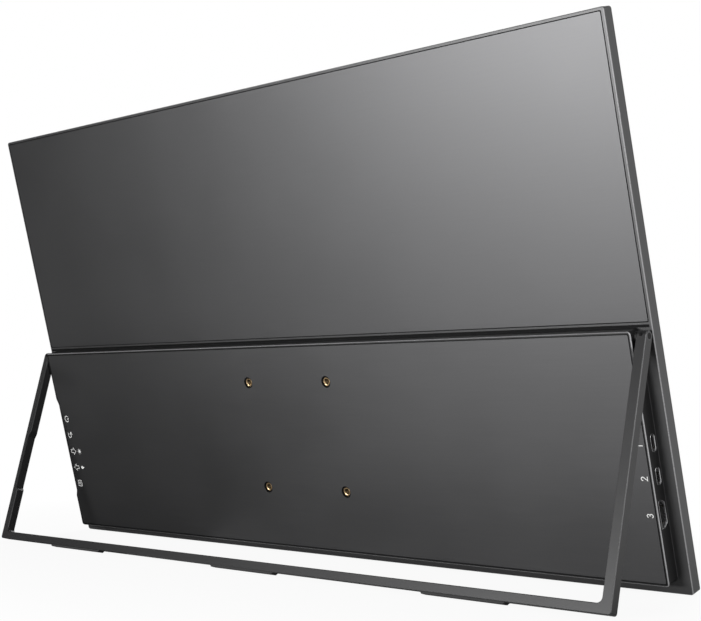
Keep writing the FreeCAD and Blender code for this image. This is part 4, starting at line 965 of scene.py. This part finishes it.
def threaded_insert(x, z, front, back):
    """Turned insert: a section of outer wall, waist and bore carried round the axis. The bore's radius
    at turn t and depth s is its least radius plus a triangle wave of s over the pitch minus t, and a
    cosine wave round the outer wall makes its knurl."""
    turn = full_turn()
    full = INSERT_RADIUS
    rim = full - RIM_CHAMFER
    neck = full - WAIST_DEPTH
    mouth = BORE_RADIUS + THREAD_DEPTH + RIM_CHAMFER
    outer = np.array((rim, full, full, neck, neck, full, full, rim, mouth))
    waist = (front + back) / 2 + np.array((-2, -1, 1, 2)) * WAIST_STEP
    wall = np.concatenate(((front, front + RIM_CHAMFER), waist, (back - RIM_CHAMFER, back, back)))
    bore = np.linspace(back - RIM_CHAMFER, front + RIM_CHAMFER, BORE_RINGS)
    wave = np.abs(((bore[:, None] / THREAD_PITCH - turn / (2 * np.pi)) % 1.0) * 2 - 1)
    knurl = KNURL_DEPTH * (np.cos(KNURL_COUNT * turn) - 1)
    radius = np.vstack((outer[:, None] + knurl, BORE_RADIUS + THREAD_DEPTH * wave, mouth + 0 * turn))
    level = np.concatenate((wall, bore, (front,)))[:, None] + 0 * turn
    return skin(np.stack((x + radius * np.cos(turn), level, z + radius * np.sin(turn)), -1), True)


def brass_inserts():
    """Threaded inserts of the mounting square."""
    low, high = MONITOR.reach("mount_inserts")
    shapes = [threaded_insert(x, z, low[1], high[1])
              for x in (low[0] + INSERT_RADIUS, high[0] - INSERT_RADIUS)
              for z in (low[2] + INSERT_RADIUS, high[2] - INSERT_RADIUS)]
    made = piece("brass_inserts", "monitor", FINISHES["insert_brass"], shapes, MONITOR)
    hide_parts("mount_inserts")


def rubber_pad(node):
    """Foot pad: rounded rectangles stacked down to the foot, shorter below by its sloped ends, with an
    edge round of a quarter circle. Across the foot a cosine wave along the pad makes its ribs."""
    points = STAND.points(node)
    low, high = points.min(0), points.max(0)
    foot = points[points[:, 2] < low[2] + LEVEL_TOLERANCE]
    half = (high - low) / 2
    middle = (high + low) / 2
    foot_half = np.ptp(foot[:, 0]) / 2
    slope = low[2] + half[0] - foot_half
    steps = [(half[0], half[1], PAD_CORNER, level) for level in (high[2], slope)]
    for inset, short in quarter_round(PAD_ROUND):
        steps.append((foot_half + PAD_ROUND / 2 - inset, half[1] - inset, PAD_CORNER, low[2] + short))
    inner = half[1] - PAD_ROUND
    for share in PAD_FACE_SHARES:
        inset = PAD_ROUND + inner * (1 - share)
        steps.append((foot_half - inset, inner * share, PAD_CORNER * share, low[2]))
    rings = stack(steps, PAD_POINTS)
    face = rings[-len(PAD_FACE_SHARES):]
    face[..., 2] += PAD_RIB_DEPTH * (0.5 - 0.5 * np.cos(2 * np.pi * face[..., 0] / PAD_RIB_PITCH))
    rings[..., :2] += middle[:2]
    made = piece(node + "_rubber", "stand", FINISHES["pad_rubber"], [skin(rings)], STAND)
    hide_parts(node)


def button_cap(name):
    """Button: stem, lip and cap as stadium rings stacked outwards, a quarter round at the cap's edge and
    a face that dips by the square of the distance from its middle line."""
    node = name + "_button"
    points = MONITOR.points(node)
    levels = np.unique(np.round(points[:, 0], LEVEL_DIGITS))
    low, high = points.min(0), points.max(0)
    middle = (low + high) / 2
    face = points[points[:, 0] > levels[-1] - LEVEL_TOLERANCE]
    tip = points[points[:, 0] < levels[0] + LEVEL_TOLERANCE]
    stem = np.ptp(tip[:, 2]) / 2
    lip_long, lip_short = (high[2] - low[2]) / 2, (high[1] - low[1]) / 2
    cap_long, cap_short = np.ptp(face[:, 2]) / 2, np.ptp(face[:, 1]) / 2
    steps = [(stem + STEM_FLAT, stem, stem, level) for level in levels[:2]]
    steps += [(lip_long, lip_short, lip_short, level) for level in levels[1:3]]
    steps.append((cap_long, cap_short, cap_short, levels[2]))
    for inset, short in quarter_round(BUTTON_ROUND):
        steps.append((cap_long - inset, cap_short - inset, cap_short - inset, levels[3] - short))
    for share in DISH_SHARES:
        half = (cap_short - BUTTON_ROUND) * share
        dip = BUTTON_DISH * (1 - share ** 2)
        steps.append((cap_long - cap_short + half, half, half, levels[3] - dip))
    rings = stack(steps, CAP_POINTS)
    upright = np.stack((rings[..., 2], middle[1] + rings[..., 1], middle[2] + rings[..., 0]), -1)
    made = piece(node + "_cap", name + "_key", FINISHES["button_plastic"],
                 [skin(upright)], MONITOR)
    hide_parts(node)


def grub_screw(x, z, front, back, radius):
    """Set screw: rings along its axis, round outside and six-sided in the socket, where the radius is
    the flat's distance over the cosine of the angle from its middle."""
    turn = full_turn()
    half_flat = np.pi / 6
    flats = np.cos(half_flat) / np.cos((turn + half_flat) % (2 * half_flat) - half_flat)
    socket = SOCKET_SHARE * radius * flats
    edge = SCREW_EDGE_SHARE * radius
    floor = back - SOCKET_DEPTH_SHARE * (back - front)
    profile = [(front, radius - edge), (front + edge, radius), (back - edge, radius), (back, radius - edge),
               (back, socket + edge), (back - edge, socket), (floor, socket)]
    rings = [np.stack((x + size * np.cos(turn), level + 0 * turn, z + size * np.sin(turn)), -1)
             for level, size in profile]
    return skin(np.stack(rings))


def set_screws():
    """Set screws in the backs of the arms."""
    low, high = STAND.reach("stand_set_screws")
    radius = (high[2] - low[2]) / 2
    shapes = [grub_screw(x, (low[2] + high[2]) / 2, low[1], high[1], radius)
              for x in (low[0] + radius, high[0] - radius)]
    made = piece("socket_set_screws", "stand", FINISHES["screw_steel"], shapes, STAND)
    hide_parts("stand_set_screws")


def contact_bars(low, high, count):
    """Contacts on both faces of a port's tongue: a rectangle carried inwards from the tip, narrower at
    both ends, and repeated along the row."""
    pitch = (high[2] - low[2]) * CONTACT_ROW_SHARE / count
    half = pitch * CONTACT_SHARE / 2
    start = low[0] + CONTACT_START_SHARE * (high[0] - low[0])
    end = start + CONTACT_LENGTH_SHARE * (high[0] - start)
    x = np.array((start, start + half, end - half, end))[:, None]
    width = half * np.array((CONTACT_TIP_SHARE, 1.0, 1.0, CONTACT_ROOT_SHARE))[:, None]
    out = CONTACT_THICKNESS * np.array((0, 0, 1, 1))
    side = np.array((-1, 1, 1, -1))
    shapes = []
    for y in (low[1] - out, high[1] + out):
        for step in range(count):
            z = (low[2] + high[2]) / 2 + pitch * (step - (count - 1) / 2)
            shapes.append(skin(np.stack(np.broadcast_arrays(x, y, z + width * side), -1)))
    return shapes


def port_contacts():
    """Gold contacts of all ports."""
    tongues = MONITOR.points("port_tongues")
    shapes = []
    for node, count in zip(PORTS, (SMALL_CONTACTS, SMALL_CONTACTS, WIDE_CONTACTS)):
        low, high = MONITOR.reach(node)
        inside = tongues[(tongues[:, 2] > low[2]) & (tongues[:, 2] < high[2])]
        shapes += contact_bars(inside.min(0), inside.max(0), count)
    piece("port_contacts", "monitor", FINISHES["contact_gold"], shapes, MONITOR)


def small_mouth(low, high, grow):
    """Opening of a small port in depth and height, grown by a distance: a slot with round ends."""
    half = (high - low) / 2 + grow
    flat = outline(half[2], half[1], half[1])
    return flat[:, ::-1] + (low + high)[1:] / 2


def wide_mouth(low, high, grow):
    """Opening of the wide port in depth and height, grown by a distance: a rectangle whose two corners
    towards the board are cut off."""
    middle = (low[2] + high[2]) / 2
    wide = (high[2] - low[2]) / 2 + grow
    narrow = wide * WIDE_NARROW_SHARE
    shoulder = high[1] - WIDE_SHOULDER_SHARE * (high[1] - low[1])
    back = high[1] + grow
    front = low[1] - grow
    half = [(back, wide), (shoulder, wide), (front, narrow)]
    return np.array(half + [(y, -z) for y, z in half[::-1]]) + (0.0, middle)


def port_collars():
    """Bevelled collars: each port's opening, grown and raised from the box's side step by step, and the
    last step joined to the first."""
    wall = MONITOR.reach("electronics_cover")[0][0]
    shapes = []
    for node, mouth in zip(PORTS, (small_mouth, small_mouth, wide_mouth)):
        low, high = MONITOR.reach(node)
        rings = []
        for grow, rise in COLLAR_STEPS:
            flat = mouth(low, high, PORT_ROOM + grow)
            rings.append(np.column_stack((np.full(len(flat), wall - rise), flat)))
        shapes.append(skin(np.stack(rings), closed=True))
    piece("port_collars", "monitor", FINISHES["port_steel"], shapes, MONITOR)


def studio_rays(tree):
    """Two masks: 1 for rays from the camera, and 1 for rays that come by way of gloss and glass."""
    camera, gloss, glass = (tree.node("ShaderNodeLightPath", output=name)
                            for name in ("Is Camera Ray", "Is Glossy Ray", "Is Transmission Ray"))
    return camera, gloss.most(glass)


def level_corners(low, high, height):
    """Corners of a level rectangle between two points of the plan."""
    plan = ((low[0], low[1]), (high[0], low[1]), (high[0], high[1]), (low[0], high[1]))
    return [(x, y, height) for x, y in plan]


def flat_object(name, corners, material):
    """Object of one four-cornered face."""
    mesh = bpy.data.meshes.new(name)
    mesh.from_pydata(corners, [], [(0, 1, 2, 3)])
    mesh.materials.append(material)
    return add(name, mesh)


def floor_paint():
    """Pale paint that keeps the object's shadow: the white share of what the eye sees, or metal mirrors,
    grows from its least value under the object to 1 with the square of the distance from the object's
    line on the floor."""
    paint = Tree(bpy.data.materials.new("studio_floor"))
    matt = paint.nodes["Principled BSDF"]
    paint.feed(matt, {"Base Color": (FLOOR_SHADE, FLOOR_SHADE, FLOOR_SHADE, 1.0),
                      "Roughness": FLOOR_ROUGHNESS, "Specular IOR Level": 0.0})
    glow = paint.node("ShaderNodeEmission", sockets={"Color": WHITE, "Strength": 1.0})
    place = paint.node("ShaderNodeTexCoord", output="Object")
    x, y = (paint.node("ShaderNodeSeparateXYZ", sockets={0: place}, output=axis) / FLOOR_FADE
            for axis in (0, 1))
    beside = (abs(x) - CAD_BOX[1][0] / FLOOR_FADE).most(0.0)
    away = beside * beside + y * y
    white = sum(rays * (least + (1.0 - least) * away).least(1.0)
                for rays, least in zip(studio_rays(paint), (FLOOR_GLOW, FLOOR_MIRROR)))
    shaders = {0: white, 1: Value(paint, matt.outputs[0]), 2: glow}
    surface = paint.node("ShaderNodeMixShader", sockets=shaders)
    paint.feed(paint.nodes["Material Output"], {"Surface": surface})
    return paint.owner


def studio_floor():
    """Level floor under the object."""
    half = FLOOR_SIZE / 2
    floor = flat_object("studio_floor", level_corners((-half, -half), (half, half), 0.0), floor_paint())


def studio_world():
    """White surroundings to the eye, and a weaker even light on the object."""
    scene = bpy.context.scene
    scene.world = bpy.data.worlds.new("studio_world")
    sky = Tree(scene.world)
    camera, mirrored = studio_rays(sky)
    strength = camera.most(mirrored) * (1.0 - AMBIENT) + AMBIENT
    sky.feed(sky.nodes["Background"], {"Color": WHITE, "Strength": strength})


def shade_cards():
    """Black cards beside the light's way, on the floor beside the object and above it, out of the picture,
    that darken what the object mirrors there. Only the upright one takes light away."""
    black = moulded("card_black", **CARD_LOOK)
    upright = [(*CARD_NEAR, 0.0), (*CARD_FAR, 0.0), (*CARD_FAR, CARD_HEIGHT), (*CARD_NEAR, CARD_HEIGHT)]
    cards = {"side_card": upright,
             "floor_card": level_corners(FLOOR_CARD_LOW, FLOOR_CARD_HIGH, FLOOR_CARD_HEIGHT),
             "roof_card": level_corners(ROOF_LOW, ROOF_HIGH, ROOF_HEIGHT)}
    for name, corners in cards.items():
        card = flat_object(name, corners, black)
        card.visible_camera = False
        card.visible_diffuse = corners is upright
        card.visible_shadow = corners is upright


def looking(place, aim):
    """Turn of a lamp or camera that looks from its place at a point."""
    return (Vector(aim) - Vector(place)).to_track_quat("-Z", "Y")


def softbox(name, place, aim, size, power):
    """Rectangular soft lamp that looks at a point."""
    lamp = bpy.data.lights.new(name, "AREA")
    lamp.shape = "RECTANGLE"
    lamp.size, lamp.size_y = size
    lamp.energy = power
    made = add(name, lamp)
    made.location = place
    made.rotation_euler = looking(place, aim).to_euler()


def studio_camera():
    """Camera at the photograph's place, turned a little about its own view."""
    camera = add("camera", bpy.data.cameras.new("camera"))
    camera.data.sensor_width = CAMERA_SENSOR
    camera.data.lens = CAMERA_LENS
    camera.location = CAMERA_PLACE
    camera.rotation_mode = "QUATERNION"
    roll = Quaternion((0.0, 0.0, 1.0), -CAMERA_ROLL)
    camera.rotation_quaternion = looking(CAMERA_PLACE, CAMERA_AIM) @ roll
    bpy.context.scene.camera = camera


dress_nodes()
button_signs()
port_numbers()
port_contacts()
port_collars()
brass_inserts()
set_screws()
for side in ("left", "middle", "right"):
    rubber_pad("foot_pad_" + side)
for button in ("power", "back", "up", "down", "menu"):
    button_cap(button)
studio_floor()
studio_world()
shade_cards()
for lamp, settings in LAMPS.items():
    softbox(lamp, **settings)
studio_camera()
bpy.context.scene.view_settings.view_transform = "Standard"
